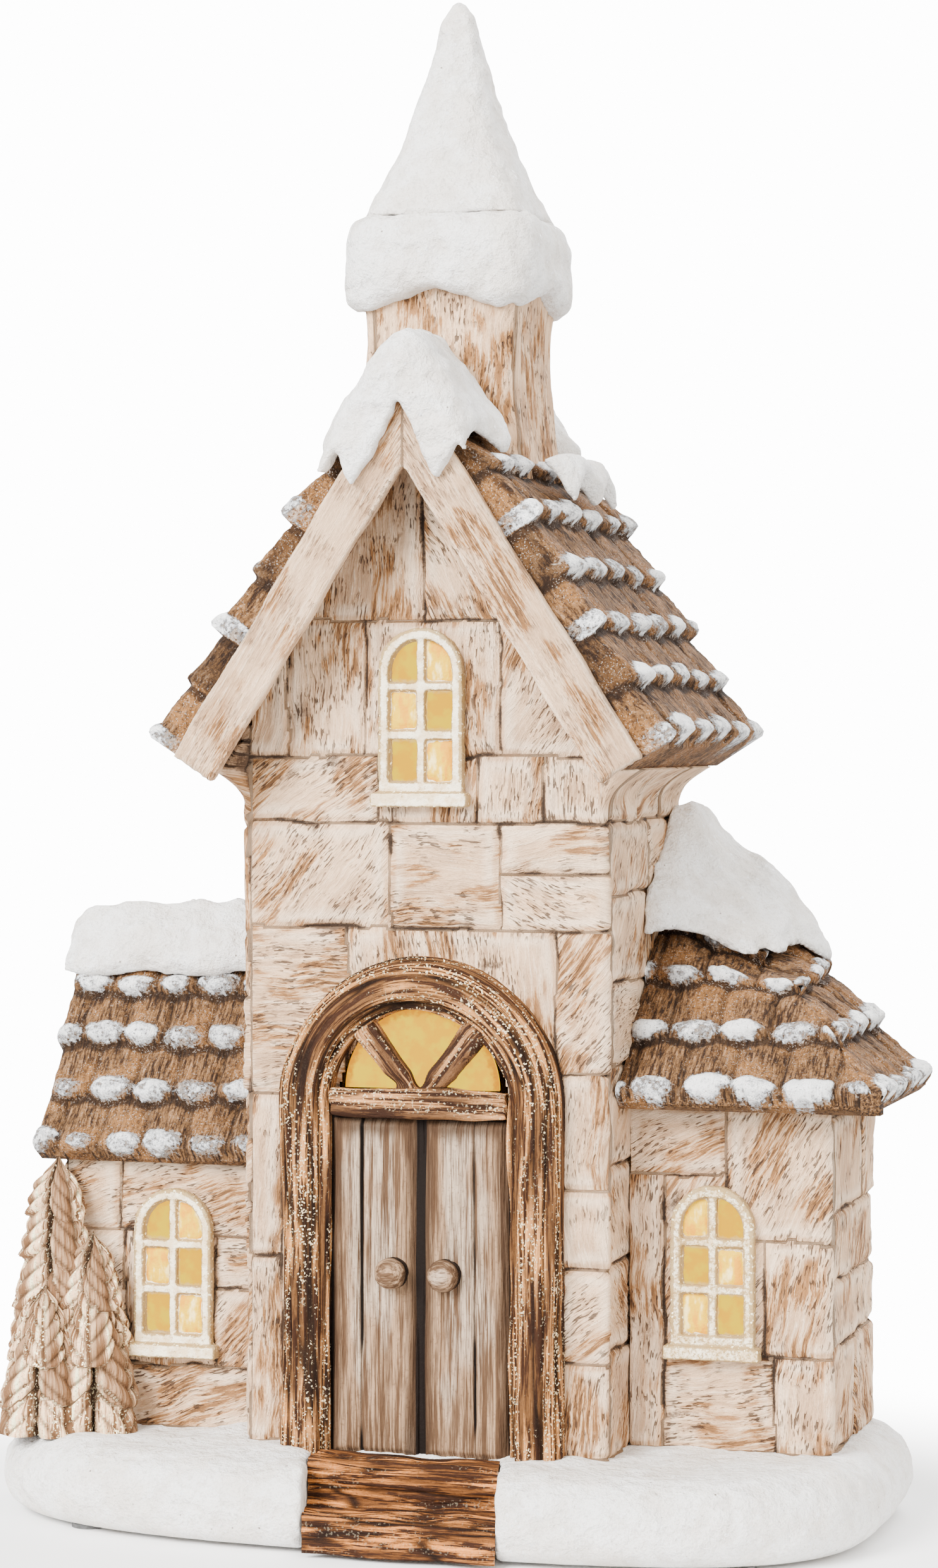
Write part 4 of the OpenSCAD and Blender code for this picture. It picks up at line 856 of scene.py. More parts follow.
@dataclass
class TiledSlope:
    """Courses of scalloped tiles on a sloping sheet, with a dab of snow on each tip."""

    origin: Triple
    along: Triple
    down: Triple
    length: float
    run: float
    tile_w: float
    tile_l: float
    rise: float = 2.6
    seed: int = 1
    step: float = 0.62
    depth: float = 5.0
    first: float = 0.0
    dabs: float = 1.0
    spread: float = 0.98
    swell: bool = False
    front: bool | None = None

    def build(self, form: Form, keep: Callable[[Array, Array], Array] | None = None) -> None:
        """Adds the sheet, with its rim turned down, to a form.

        Args:
            form: Takes the sheet.
            keep: Takes places along and down the slope and says which cells stay.
        """
        u_line = np.linspace(0, self.length, round(self.length / self.step) + 1)
        u, v = np.meshgrid(u_line, np.linspace(0, self.run, round(self.run / self.step) + 1))
        height, lap_shadow, snow = self.relief(u, v)
        if self.swell:
            height += P.rise(v + 1.6 * grain(np.stack([u, v, v * 0], -1), 14, self.seed + 8))
        rim = np.minimum(np.minimum(u, self.length - u), self.run - v)
        height -= 0.9 * (1 - ease(rim, -0.5, 1.4))
        along, down = unit(np.array(self.along)), unit(np.array(self.down))
        out = np.cross(along, down)
        out = out if out[2] > 0 else -out
        base = np.array(self.origin) + u[..., None] * along + v[..., None] * down
        top = base + out * height[..., None]
        if self.front is not None:
            fold = P.fold(base, self.front)
            top[..., 2] += fold
            snow = snow * (1 - ease(P.fold(base) - fold, 0.2, 1.4))
        # The groove mark of the tiles is their painted shadow.
        marks = {"groove": lap_shadow, "snow": snow, "comb": np.stack([u, v, height * 0], -1)}
        if keep:
            cell = keep((u[:-1, :-1] + u[1:, 1:]) / 2, (v[:-1, :-1] + v[1:, 1:]) / 2)
            cell = np.column_stack([cell, np.zeros(len(cell), bool)])
            under, lower = base - out * 2.6, {k: m * 0.2 for k, m in marks.items()}
            edges = ((np.s_[-1, :], cell[-1:]), (np.s_[:, 0], None))
        else:
            cell = None
            deep = np.minimum(self.depth, v * math.hypot(down[0], down[1]) / -down[2])
            under, lower = base - out * deep[..., None], {**marks, "snow": snow - 0.8,
                                                          "comb": marks["comb"] - [0, 0, self.depth]}
            edges = tuple((edge, None) for edge in RIM)
        form.grid(top, cell, **marks)
        for edge, cells in edges:
            form.grid(np.stack([top[edge], under[edge]]), cells,
                      **{k: np.stack([m[edge], lower[k][edge]]) for k, m in marks.items()})

    def relief(self, u: Array, v: Array) -> tuple[Array, Array, Array]:
        """Works out the tiles at places of the slope.

        Args:
            u: Places along the eaves in mm.
            v: Places down the slope in mm.

        Returns:
            Heights in mm, the mark of the painted shadow under each course and between tiles, and the mark of the snow
            dabs.
        """
        flat = np.stack([u, v, np.full_like(u, 5.1 * self.seed)], -1)
        wobble = 0.8 * grain(flat, 8, self.seed, 2)
        ragged = grain(flat, 2.6, self.seed + 6, 2)
        rows = max(1, round(self.run / self.tile_l))
        length = self.run / rows
        cols = max(1, round(self.length / self.tile_w))
        width = self.length / cols
        best, under = np.full_like(u, -9.0), np.zeros_like(u)
        lap_shadow, snow = np.zeros_like(u), np.zeros_like(u)
        rng = np.random.default_rng(self.seed)
        for r in range(rows + 1):
            shift = self.first + (0.5 if r % 2 else 0.0)
            column = (u + wobble * 0.7) / width + shift
            number = np.floor(column)
            x = (column - number - 0.5) * 2
            jitter = rng.uniform(-1, 1, (cols + 3, 6))
            own = jitter[np.clip(number.astype(int), 0, cols + 2)]
            reach = r * length + 1.3 * (1 - np.abs(x) ** 1.7) - 1.1 + 0.7 * own[..., 0] + 0.35 * wobble
            ahead = reach - v
            body = (ahead > 0) & (ahead < length * 1.25)
            lift = self.rise * (1 - ahead / (length * 1.2)) * (1 + 0.16 * own[..., 1])
            lift += 0.75 * (1 - x * x) * ease(ahead, -0.2, 1.5) + 0.55 * own[..., 2] * x
            lift *= ease(ahead, -0.1, 0.75) ** 0.5
            lift -= 0.55 * np.exp(-(((np.abs(x) - 1) * width / 2 / 0.8) ** 2))
            tip = 2.4 + 0.5 * own[..., 5]
            wide = self.spread + 0.17 * own[..., 3]
            lens = 1 - np.abs((x - 0.15 * own[..., 4]) / wide) ** 1.5
            lens = lens - ((ahead - tip) / (3.1 + 0.8 * own[..., 3])) ** 2 + 0.38 * ragged
            dab = ease(lens, -0.10, 0.55) * self.dabs * (0.78 + 0.22 * own[..., 1]) * (own[..., 4] > -0.92)
            lift += 1.3 * ease(lens, 0.0, 1.0) * (own[..., 4] > -0.92)
            take = body & (lift > best)
            best = np.where(take, lift, best)
            snow = np.where(take, dab, snow)
            # Painted shadow along the sides of each tile and, below, on the course under its tip.
            shade = np.exp(-(((np.abs(x) - 1) * width / 2 / 0.9) ** 2)) * 0.5
            lap_shadow = np.where(take, shade, lap_shadow)
            under = np.where(v > reach - 0.1, 1 - ease(v - reach, 0.5, 2.9), under)
            lap_shadow = np.where(take, np.maximum(lap_shadow, under), lap_shadow)
        height = np.maximum(best, -0.4)
        height += 0.50 * grain(flat, 2.0, self.seed + 3, 3) + 0.45 * grain(flat, 6, self.seed + 4)
        return height, np.clip(lap_shadow, 0, 1), snow


def arch_distance(x: Array, z: Array, width: float, height: float) -> Array:
    """How far inside an arched opening a point lies, in mm; negative outside.

    Args:
        x: Places from the middle of the opening.
        z: Heights over its foot.
        width: Its width.
        height: Its height with the arch.

    Returns:
        The distance to the nearest edge.
    """
    r = width / 2
    below = np.minimum(r - np.abs(x), z)
    above = r - np.hypot(x, z - (height - r))
    return np.where(z < height - r, below, above)


@dataclass
class Proportions:
    """The main sizes of the house in mm, as the CAD has them."""

    body_x: float = 1.0
    body_w: float = 84.0
    front: float = -24.0
    back: float = 42.0
    base_top: float = 19.0
    ridge: float = 258.0
    eave: float = 168.0
    pitch: float = math.radians(57.5)
    roof_t: float = 9.0
    tile_t: float = 2.5
    roof_front: float = -36.0
    roof_back: float = 50.0
    tower_x: float = -0.2
    tower_y: float = 7.2
    tower_w: float = 34.4
    swell: Triple = (4.6, 14.0, 36.0)
    tower_top: float = 277.0
    left: tuple[float, float, float, float] = (-89.0, -41.0, -14.0, 31.0)
    left_ridge: float = 131.0
    left_eave: float = 78.0
    left_over: float = 7.0
    wing_roof_t: float = 7.0
    right: tuple[float, float, float, float] = (43.0, 88.0, -6.0, 42.0)
    right_roof: tuple[float, float, float, float] = (43.0, 99.5, -17.0, 45.0)
    right_top: float = 158.0
    right_eave: float = 93.0
    windows: tuple[Triple, ...] = ((1.0, -24.0, 162.0), (-60.7, -14.0, 37.0), (61.9, -6.0, 41.0))
    win_w: float = 19.6
    win_h: float = 37.0
    win_border: float = 2.2

    def rise(self, down: Array) -> Array:
        """How far the tiles of the main roof bulge at places down its slope."""
        return self.swell[0] * ease(down, self.swell[1], self.swell[2])

    @property
    def left_slope(self) -> float:
        """Fall of the left roof for each mm."""
        half = (self.left[3] - self.left[2]) / 2 + self.left_over
        return (self.left_ridge - self.left_eave - 2 * self.tile_t) / half

    @property
    def left_mid(self) -> float:
        """Middle of the left wing from front to back."""
        return (self.left[2] + self.left[3]) / 2

    @property
    def right_fall(self) -> tuple[float, float]:
        """Fall of the right roof for each mm to the side and to the front."""
        x0, x1, y0, y1 = self.right_roof
        rise = self.right_top - self.right_eave - self.wing_roof_t
        return rise / (x1 - x0), rise / (y1 - y0)

    def window(self, number: int, x: Array, z: Array) -> Array:
        """How far inside a window's outline a point of its wall lies, in mm; negative outside."""
        mid, _, foot = self.windows[number]
        return arch_distance(x - mid, z - foot, self.win_w, self.win_h)

    def fold(self, points: Array, front: bool | None = None) -> Array:
        """How far points of the right roof are lowered.

        Args:
            points: Points of the roof or its snow.
            front: Whether they belong to the front or the side sheet, which folds over the hip.

        Returns:
            The change of height, which also rounds the upper hip.
        """
        x0, x1, y0, y1 = self.right_roof
        fall_x, fall_y = self.right_fall
        along, back = (points[..., 0] - x0) / (x1 - x0), (y1 - points[..., 1]) / (y1 - y0)
        share = np.clip(np.maximum(along, back), 0, 1)
        off = np.hypot((along - share) * (x1 - x0), (back - share) * (y1 - y0))
        sunk = -7.6 * ease(share, 0.02, 0.25) * (1 - ease(share, 0.36, 0.72)) * (1 - ease(off, 0, 24))
        if front is None:
            return sunk
        gap = (along - back) * (x1 - x0) * fall_x
        return sunk - np.maximum(gap if front else -gap, 0)


P = Proportions()


@dataclass
class Walls:
    """The clay walls of the house, its wings and its tower.

    The wings reach into the house, and each skin reaches over the rim of its openings. A block is given by its left
    and right edge, its foot and top, and the turn of its strokes.
    """

    clay: CombedClay = CombedClay("wall_clay")
    tower_clay: CombedClay = CombedClay("tower_clay", rust=1.5, pitch=0.8, contrast=1.1)
    wing_reach: float = 0.9
    window_lip: float = 1.5
    door: Triple = (41.0, 96.5, 1.0)
    main_blocks: Rows = (
        (-33, 0.8, 200.5, 250, 88), (0.8, 36, 200.5, 250, 118), (-48, -30.4, 170.5, 200.5, 86),
        (-30.4, -12.3, 170.5, 200.5, 88), (-12.3, 18.5, 170.5, 200.5, 88), (18.5, 50, 170.5, 200.5, 62),
        (-50, -9.5, 156.1, 170.5, 38), (-9.5, 13.0, 156.1, 170.5, 88), (13.0, 28.3, 156.1, 170.5, 86),
        (28.3, 52, 156.1, 170.5, 95), (-42, -6.9, 132.9, 156.1, 52), (-6.9, 18.4, 132.9, 156.1, 3),
        (18.4, 44, 144.9, 156.1, 12), (18.4, 44, 132.9, 144.9, 160), (-42, -16.5, 96.0, 132.9, 5),
        (-16.5, 31.0, 96.0, 132.9, 94), (31.0, 44, 102.0, 132.9, 55), (-42, -31.8, 60.0, 96.0, 86),
        (-42, -31.8, 19.0, 60.0, 88), (-31.8, 31.6, 19.0, 96.0, 90), (31.6, 44, 76.9, 102.0, 86),
        (31.6, 44, 59.9, 76.9, 92), (31.6, 44, 39.5, 59.9, 35), (31.6, 44, 19.0, 39.5, 84),
    )
    left_blocks: Rows = (
        (-90, -74, 63, 80, 20), (-74, -40, 63, 80, 14), (-90, -73, 19, 63, 30), (-73, -51.3, 33, 63, 88),
        (-51.3, -40, 50.8, 63, 4), (-51.3, -40, 33, 50.8, 50), (-73, -40, 19, 33, 18), (-90, -89.5, 19, 20, 0),
    )
    right_blocks: Rows = (
        (42, 64.7, 79.2, 94, 24), (64.7, 90, 65.0, 94, 62), (42, 50.5, 19, 79.2, 88), (50.5, 64.7, 40, 79.2, 60),
        (64.7, 73.2, 40, 65.0, 50), (73.2, 90, 40.5, 65.0, 84), (50.5, 75.3, 19, 40.0, 8), (75.3, 90, 19, 40.5, 86),
    )

    @staticmethod
    def _clad(name: str, finish: Finish, sheath: Sheath, keep: Keep, coordinate: Place,
              flare: Flare | None = None) -> None:
        """Makes the piece that stands for one set of walls.

        Args:
            name: Their CAD node.
            finish: What they are made of.
            sheath: Their skin.
            keep: Takes x, y, z and the face number of cell centres and says which stay.
            coordinate: Takes a face number, x and y and gives the place across the face.
            flare: Takes heights and normals and gives how far the skin steps out.
        """
        form = Form()
        sheath.build(form, keep, coordinate, flare)
        form.finish(name + "_clay", finish, slot="bisque_clay", replaces=(name,))

    def main(self) -> None:
        """The main house: a skin with coves under its eaves and gables that end under the roof."""
        x0, x1 = P.body_x - P.body_w / 2, P.body_x + P.body_w / 2
        slope = math.tan(P.pitch)
        soffit = P.ridge - P.roof_t / math.cos(P.pitch)
        faces = [Masonry([Block(*row) for row in self.main_blocks], 3),
                 Masonry(blocks_over(0, 66, P.base_top, 180, 21), 4),
                 Masonry(blocks_over(0, 84, P.base_top, 250, 22), 5),
                 Masonry(blocks_over(0, 66, P.base_top, 180, 23), 6)]
        sheath = Sheath([(x0, P.front), (x1, P.front), (x1, P.back), (x0, P.back)], P.base_top - 1.0, soffit - 2,
                        faces, radius=2.4, across=1.5, up=0.68, fine=(0,), fine_step=0.56, closed=True)

        def flare(z: Array, normals: Array) -> Array:
            """The cove under the side eaves."""
            share = np.clip((z - (P.eave - 8.0)) / 8.0, 0, 1)
            above = np.maximum((soffit - z) / slope - P.body_w / 2 + 0.4, 0.0)
            return np.where(z < P.eave, 8.0 * share**2.0, above) * ease(np.abs(normals[:, 0]), 0.0, 0.9)

        def keep(x: Array, y: Array, z: Array, face: Array) -> Array:
            """Leaves out what lies in the roof, in the openings and inside the wings."""
            under = np.abs(x - P.body_x) < np.where(z < P.eave, 99.0, (soffit + 4.5 - z) / slope)
            under &= (z < P.eave + 9.0) | (face % 2 == 0) & (np.abs(x - P.body_x) < P.body_w / 2 - 1)
            window = (face == 0) & (P.window(0, x, z) > self.window_lip)
            wide, high, lip = self.door
            door = (face == 0) & (arch_distance(x - P.body_x, z - P.base_top, wide, high) > lip)
            return under & ~window & ~(door & (z > 89))

        self._clad("main_walls", self.clay, sheath, keep,
                   lambda face, x, y: (x, y - P.front, x1 - x, P.back - y)[face], flare)

    def left_wing(self) -> None:
        """The left wing with its gable end."""
        x0, x1, y0, y1 = P.left
        soffit = P.left_ridge - P.wing_roof_t * math.sqrt(1 + P.left_slope**2)
        faces = [Masonry(blocks_over(0, 48, P.base_top, 90, 31), 7),
                 Masonry(blocks_over(0, 45, P.base_top, 130, 32), 8),
                 Masonry([Block(*row) for row in self.left_blocks], 9)]
        inner = x1 + self.wing_reach
        sheath = Sheath([(inner, y1), (x0, y1), (x0, y0), (inner, y0)], P.base_top - 1.0, soffit - 1, faces,
                        across=0.9, up=0.7, fine=(2,))

        def keep(x: Array, y: Array, z: Array, face: Array) -> Array:
            """Leaves out what lies in the roof and in the window."""
            window = (face == 2) & (P.window(1, x, z) > self.window_lip)
            return (z < soffit + 3.0 - np.abs(y - P.left_mid) * P.left_slope) & ~window

        self._clad("left_wing_walls", self.clay, sheath, keep, lambda face, x, y: (x1 - x, y1 - y, x)[face])

    def right_wing(self) -> None:
        """The right wing under its hipped roof."""
        x0, x1, y0, y1 = P.right
        fall_x, fall_y = P.right_fall
        faces = [Masonry([Block(*row) for row in self.right_blocks], 10),
                 Masonry(blocks_over(0, 48, P.base_top, 94, 42), 11),
                 Masonry(blocks_over(0, 45, P.base_top, 150, 43), 12)]
        sheath = Sheath([(x0, y0), (x1, y0), (x1, y1), (x0 - self.wing_reach, y1)], P.base_top - 1.0, 150, faces,
                        across=0.85, up=0.7, fine=(0, 1))

        def keep(x: Array, y: Array, z: Array, face: Array) -> Array:
            """Leaves out what lies in the roof and in the window."""
            window = (face == 0) & (P.window(2, x, z) > self.window_lip)
            rx0, _, _, ry1 = P.right_roof
            roof = np.minimum(P.right_top - (x - rx0) * fall_x, P.right_top - (ry1 - y) * fall_y)
            return (z < roof - P.wing_roof_t * 0.7) & ~window

        self._clad("right_wing_walls", self.clay, sheath, keep, lambda face, x, y: (x, y - y0, x1 - x)[face])

    def tower(self) -> None:
        """The tower shaft, which spreads a little towards its foot, with upright comb strokes."""
        half, x, y = P.tower_w / 2, P.tower_x, P.tower_y
        low = P.ridge - P.tower_w - 1
        corners = [(x - half, y - half), (x + half, y - half), (x + half, y + half), (x - half, y + half)]
        faces = [Masonry([Block(-99, 99, 0, 400, 88 + 2 * k)], 50 + k, width=0.01, stroke=0.62) for k in range(4)]
        sheath = Sheath(corners, low, P.tower_top - 1, faces, radius=3.2, across=0.7, up=0.8, closed=True)

        def flare(z: Array, normals: Array) -> Array:
            """Spreads the foot and the head."""
            return 2.2 * (1 - ease(z, low + 6, low + 34)) + 0.6 * ease(z, 262, 276)

        def keep(px: Array, py: Array, z: Array, face: Array) -> Array:
            """Leaves out what lies in the roof."""
            return z > P.ridge - 2.0 - np.abs(px - P.body_x) * math.tan(P.pitch) - 4.0

        self._clad("tower_shaft", self.tower_clay, sheath, keep,
                   lambda face, px, py: (px, py, -px, -py)[face], flare)

    def build(self) -> None:
        """Builds all of them."""
        self.main()
        self.left_wing()
        self.right_wing()
        self.tower()


class Axis(Enum):
    """The axis that a plate runs along."""

    X = "x"
    Y = "y"


@dataclass
class Roofs:
    """The three tiled roofs and the bargeboards."""

    tiles: TileClay = TileClay()
    board_clay: CombedClay = CombedClay("board_clay", rust=0.8, pitch=1.3, pits=0.5, shine=0.08, contrast=1.1)

    @staticmethod
    def _plate(form: Form, outline: list[tuple[float, float]], start: float, end: float, axis: Axis) -> None:
        """Adds a closed prism of the plain plate under the tiles.

        Args:
            form: Takes the plate.
            outline: Its section as places across and heights.
            start: Where it starts along its axis.
            end: Where it ends.
            axis: The axis that it runs along.
        """
        n = len(outline)
        rings = [[(s, a, z) if axis is Axis.X else (a, s, z) for a, z in outline] for s in (start, end)]
        sides = [[i, (i + 1) % n, n + (i + 1) % n, n + i] for i in range(n)]
        points = np.array(rings[0] + rings[1])
        ends = [list(range(n))[::-1], list(range(n, 2 * n))]
        # The groove mark of 0.1 gives the plate a faint share of the tiles' painted shadow.
        form.add(points, sides + ends, groove=0.1, snow=0.0, comb=points)

    def _ridge(self, form: Form, top: tuple[float, float], tilt: float, start: float, end: float, axis: Axis) -> None:
        """Adds the clay that closes the gap between the two sheets along a ridge.

        Args:
            form: Takes the ridge.
            top: Place across and height of the edge of the plate.
            tilt: Angle of the slopes.
            start: Where it starts along its axis.
            end: Where it ends.
            axis: The axis that it runs along.
        """
        mid, z = top
        wide, high = 2.6 * math.sin(tilt), 2.6 * math.cos(tilt)
        kite = [(mid, z + 3.1), (mid + wide, z + high), (mid, z - 0.9), (mid - wide, z + high)]
        self._plate(form, kite, start, end, axis)

    def main(self) -> None:
        """The steep roof of the main house."""
        form = Form()
        slope = math.tan(P.pitch)
        plate = P.ridge - P.tile_t / math.cos(P.pitch)
        soffit = P.ridge - P.roof_t / math.cos(P.pitch)
        inner, thick = (soffit - P.eave) / slope, P.roof_t - P.tile_t
        end_x, end_z = inner + thick * math.sin(P.pitch), P.eave + thick * math.cos(P.pitch)
        run = (plate - end_z) / math.sin(P.pitch)
        bx = P.body_x
        self._plate(form, [(bx, plate - 1), (bx + end_x - 0.5, end_z), (bx + inner, P.eave), (bx, soffit),
                           (bx - inner, P.eave), (bx - end_x + 0.5, end_z)], P.roof_front + 0.5, P.roof_back - 0.5,
                    Axis.Y)
        self._ridge(form, (bx, plate), P.pitch, P.roof_front + 0.5, P.roof_back - 0.5, Axis.Y)
        for side, seed in ((1, 61), (-1, 62)):
            TiledSlope((bx, P.roof_front, plate), (0, 1, 0), (side * math.cos(P.pitch), 0, -math.sin(P.pitch)),
                       P.roof_back - P.roof_front, run + 1.0, 16.4, 13.8, rise=3.0, seed=seed, step=0.66,
                       spread=0.80, swell=True).build(form)
        form.finish("main_roof_tiles", self.tiles, slot="tile_clay", replaces=("main_roof",))

    def left(self) -> None:
        """The gabled roof of the left wing."""
        form = Form()
        x0, x1 = P.left[0] - 3.0, P.left[1]
        slope, eave = P.left_slope, P.left_eave + 3.2
        tilt = math.atan(slope)
        plate = P.left_ridge - P.tile_t / math.cos(tilt)
        soffit = P.left_ridge - P.wing_roof_t / math.cos(tilt)
        outer, inner = (plate - 0.6 - eave) / slope, (soffit - eave) / slope
        my = P.left_mid
        self._plate(form, [(my, plate - 1), (my - outer, eave), (my - inner, eave), (my, soffit),
                           (my + inner, eave), (my + outer, eave)], x0 + 0.5, x1, Axis.X)
        self._ridge(form, (my, plate), tilt, x0 + 0.5, x1, Axis.X)
        run = (plate - eave) / math.sin(tilt)
        for side, seed in ((-1, 64), (1, 65)):
            TiledSlope((x0, my, plate), (1, 0, 0), (0, side * math.cos(tilt), -math.sin(tilt)), x1 - x0, run + 0.8,
                       10.4, 13.2, seed=seed, step=0.55, depth=3.0, first=0.5, dabs=0.84).build(form)
        form.finish("left_roof_tiles", self.tiles, slot="tile_clay", replaces=("left_roof",))

    def right(self) -> None:
        """The hipped roof of the right wing: two slopes that meet on the hip."""
        form = Form()
        x0, x1, y0, y1 = P.right_roof
        fall_x, fall_y = P.right_fall
        tile = P.tile_t * math.sqrt(1 + fall_x**2)
        top = P.right_top - tile
        run_front, run_side = (y1 - y0) * math.sqrt(1 + fall_y**2), (x1 - x0) * math.sqrt(1 + fall_x**2)
        tilt_y, tilt_x = math.atan(fall_y), math.atan(fall_x)
        for along, down, length, run, tile_l, seed, first in (
                ((1, 0, 0), (0, -math.cos(tilt_y), -math.sin(tilt_y)), x1 - x0, run_front, 17.0, 66, 0.3),
                ((0, -1, 0), (math.cos(tilt_x), 0, -math.sin(tilt_x)), y1 - y0, run_side, 16.2, 67, 0.1)):

            def keep(u: Array, v: Array, length: float = length, share: float = 1 / run) -> Array:
                """The part of the slope on its own side of the hip."""
                return u < length * v * share + 2.6

            TiledSlope((x0, y1, top), along, down, length, run + 0.6, 10.7, tile_l, seed=seed, step=0.52, first=first,
                       front=seed == 66).build(form, keep)
        z0 = P.right_eave + 2.4
        ring = [(x0, y0), (x1, y0), (x1, y1 - 0.4), (x0, y1 - 0.4)]
        high = [top - (y1 - y0) * fall_y - 0.6] + [top - (x1 - x0) * fall_x - 0.6] * 2 + [top - 0.6]
        points = [(x, y, z0) for x, y in ring] + [(x, y, max(z, z0 + 0.3)) for (x, y), z in zip(ring, high)]
        hip = 0.3
        points.append((x0 + (x1 - x0) * hip, y1 - (y1 - y0) * hip, top - (x1 - x0) * fall_x * hip - 8.6))
        faces = [[3, 2, 1, 0], [0, 1, 5, 4], [1, 2, 6, 5], [2, 3, 7, 6], [3, 0, 4, 7], [4, 5, 8], [4, 8, 7],
                 [5, 6, 8], [6, 7, 8]]
        # The groove mark of 0.1 gives this block a faint share of the tiles' painted shadow.
        form.add(np.array(points), faces, groove=0.1, snow=0.0, comb=np.array(points))
        self._plate(form, [(y0 - 1.0, z0 + 3.4), (y0 + 3, z0 + 5.0), (y0 + 3, z0 - 1.0), (y0 - 1.0, z0 - 1.0)],
                    x1 - 3, x1 + 1.3, Axis.X)
        form.finish("right_roof_tiles", self.tiles, slot="tile_clay", replaces=("right_roof",))

    def boards(self) -> None:
        """The two bargeboards, with grain along them."""

        def places(points: Array) -> tuple[Array, Array, Array]:
            """Places along and across the boards, and the side of the house."""
            dx, sin, cos = np.abs(points[:, 0] - P.body_x), math.sin(P.pitch), math.cos(P.pitch)
            side = np.where(points[:, 0] > P.body_x, 1.0, -1.0)
            return dx * cos - points[:, 2] * sin, dx * sin + points[:, 2] * cos, side

        def shape(points: Array, normals: Array) -> Array:
            """Waves the boards and cuts grain into their fronts."""
            run, across, side = places(points)
            out = 0.42 * grain(np.column_stack([run, across, side * 40]), (16, 1.6, 9), 71, 2)
            return points + normals * (out + 0.6 * grain(points, 12, 72, 2) + 0.15)[:, None]

        def marks(points: Array, normals: Array) -> dict[str, Array]:
            """Comb strokes run along the boards."""
            run, across, side = places(points)
            return {"comb": np.column_stack([run, across + points[:, 1], side * 30]), "groove": np.zeros(len(points)),
                    "worn": ease(-np.abs(normals).max(axis=1), -0.95, -0.7)}

        Remade("bargeboards", 0.62, 5).build("bargeboards_clay", self.board_clay, "bisque_clay", shape, marks)

    def build(self) -> None:
        """Builds all of them."""
        self.main()
        self.left()
        self.right()
        self.boards()


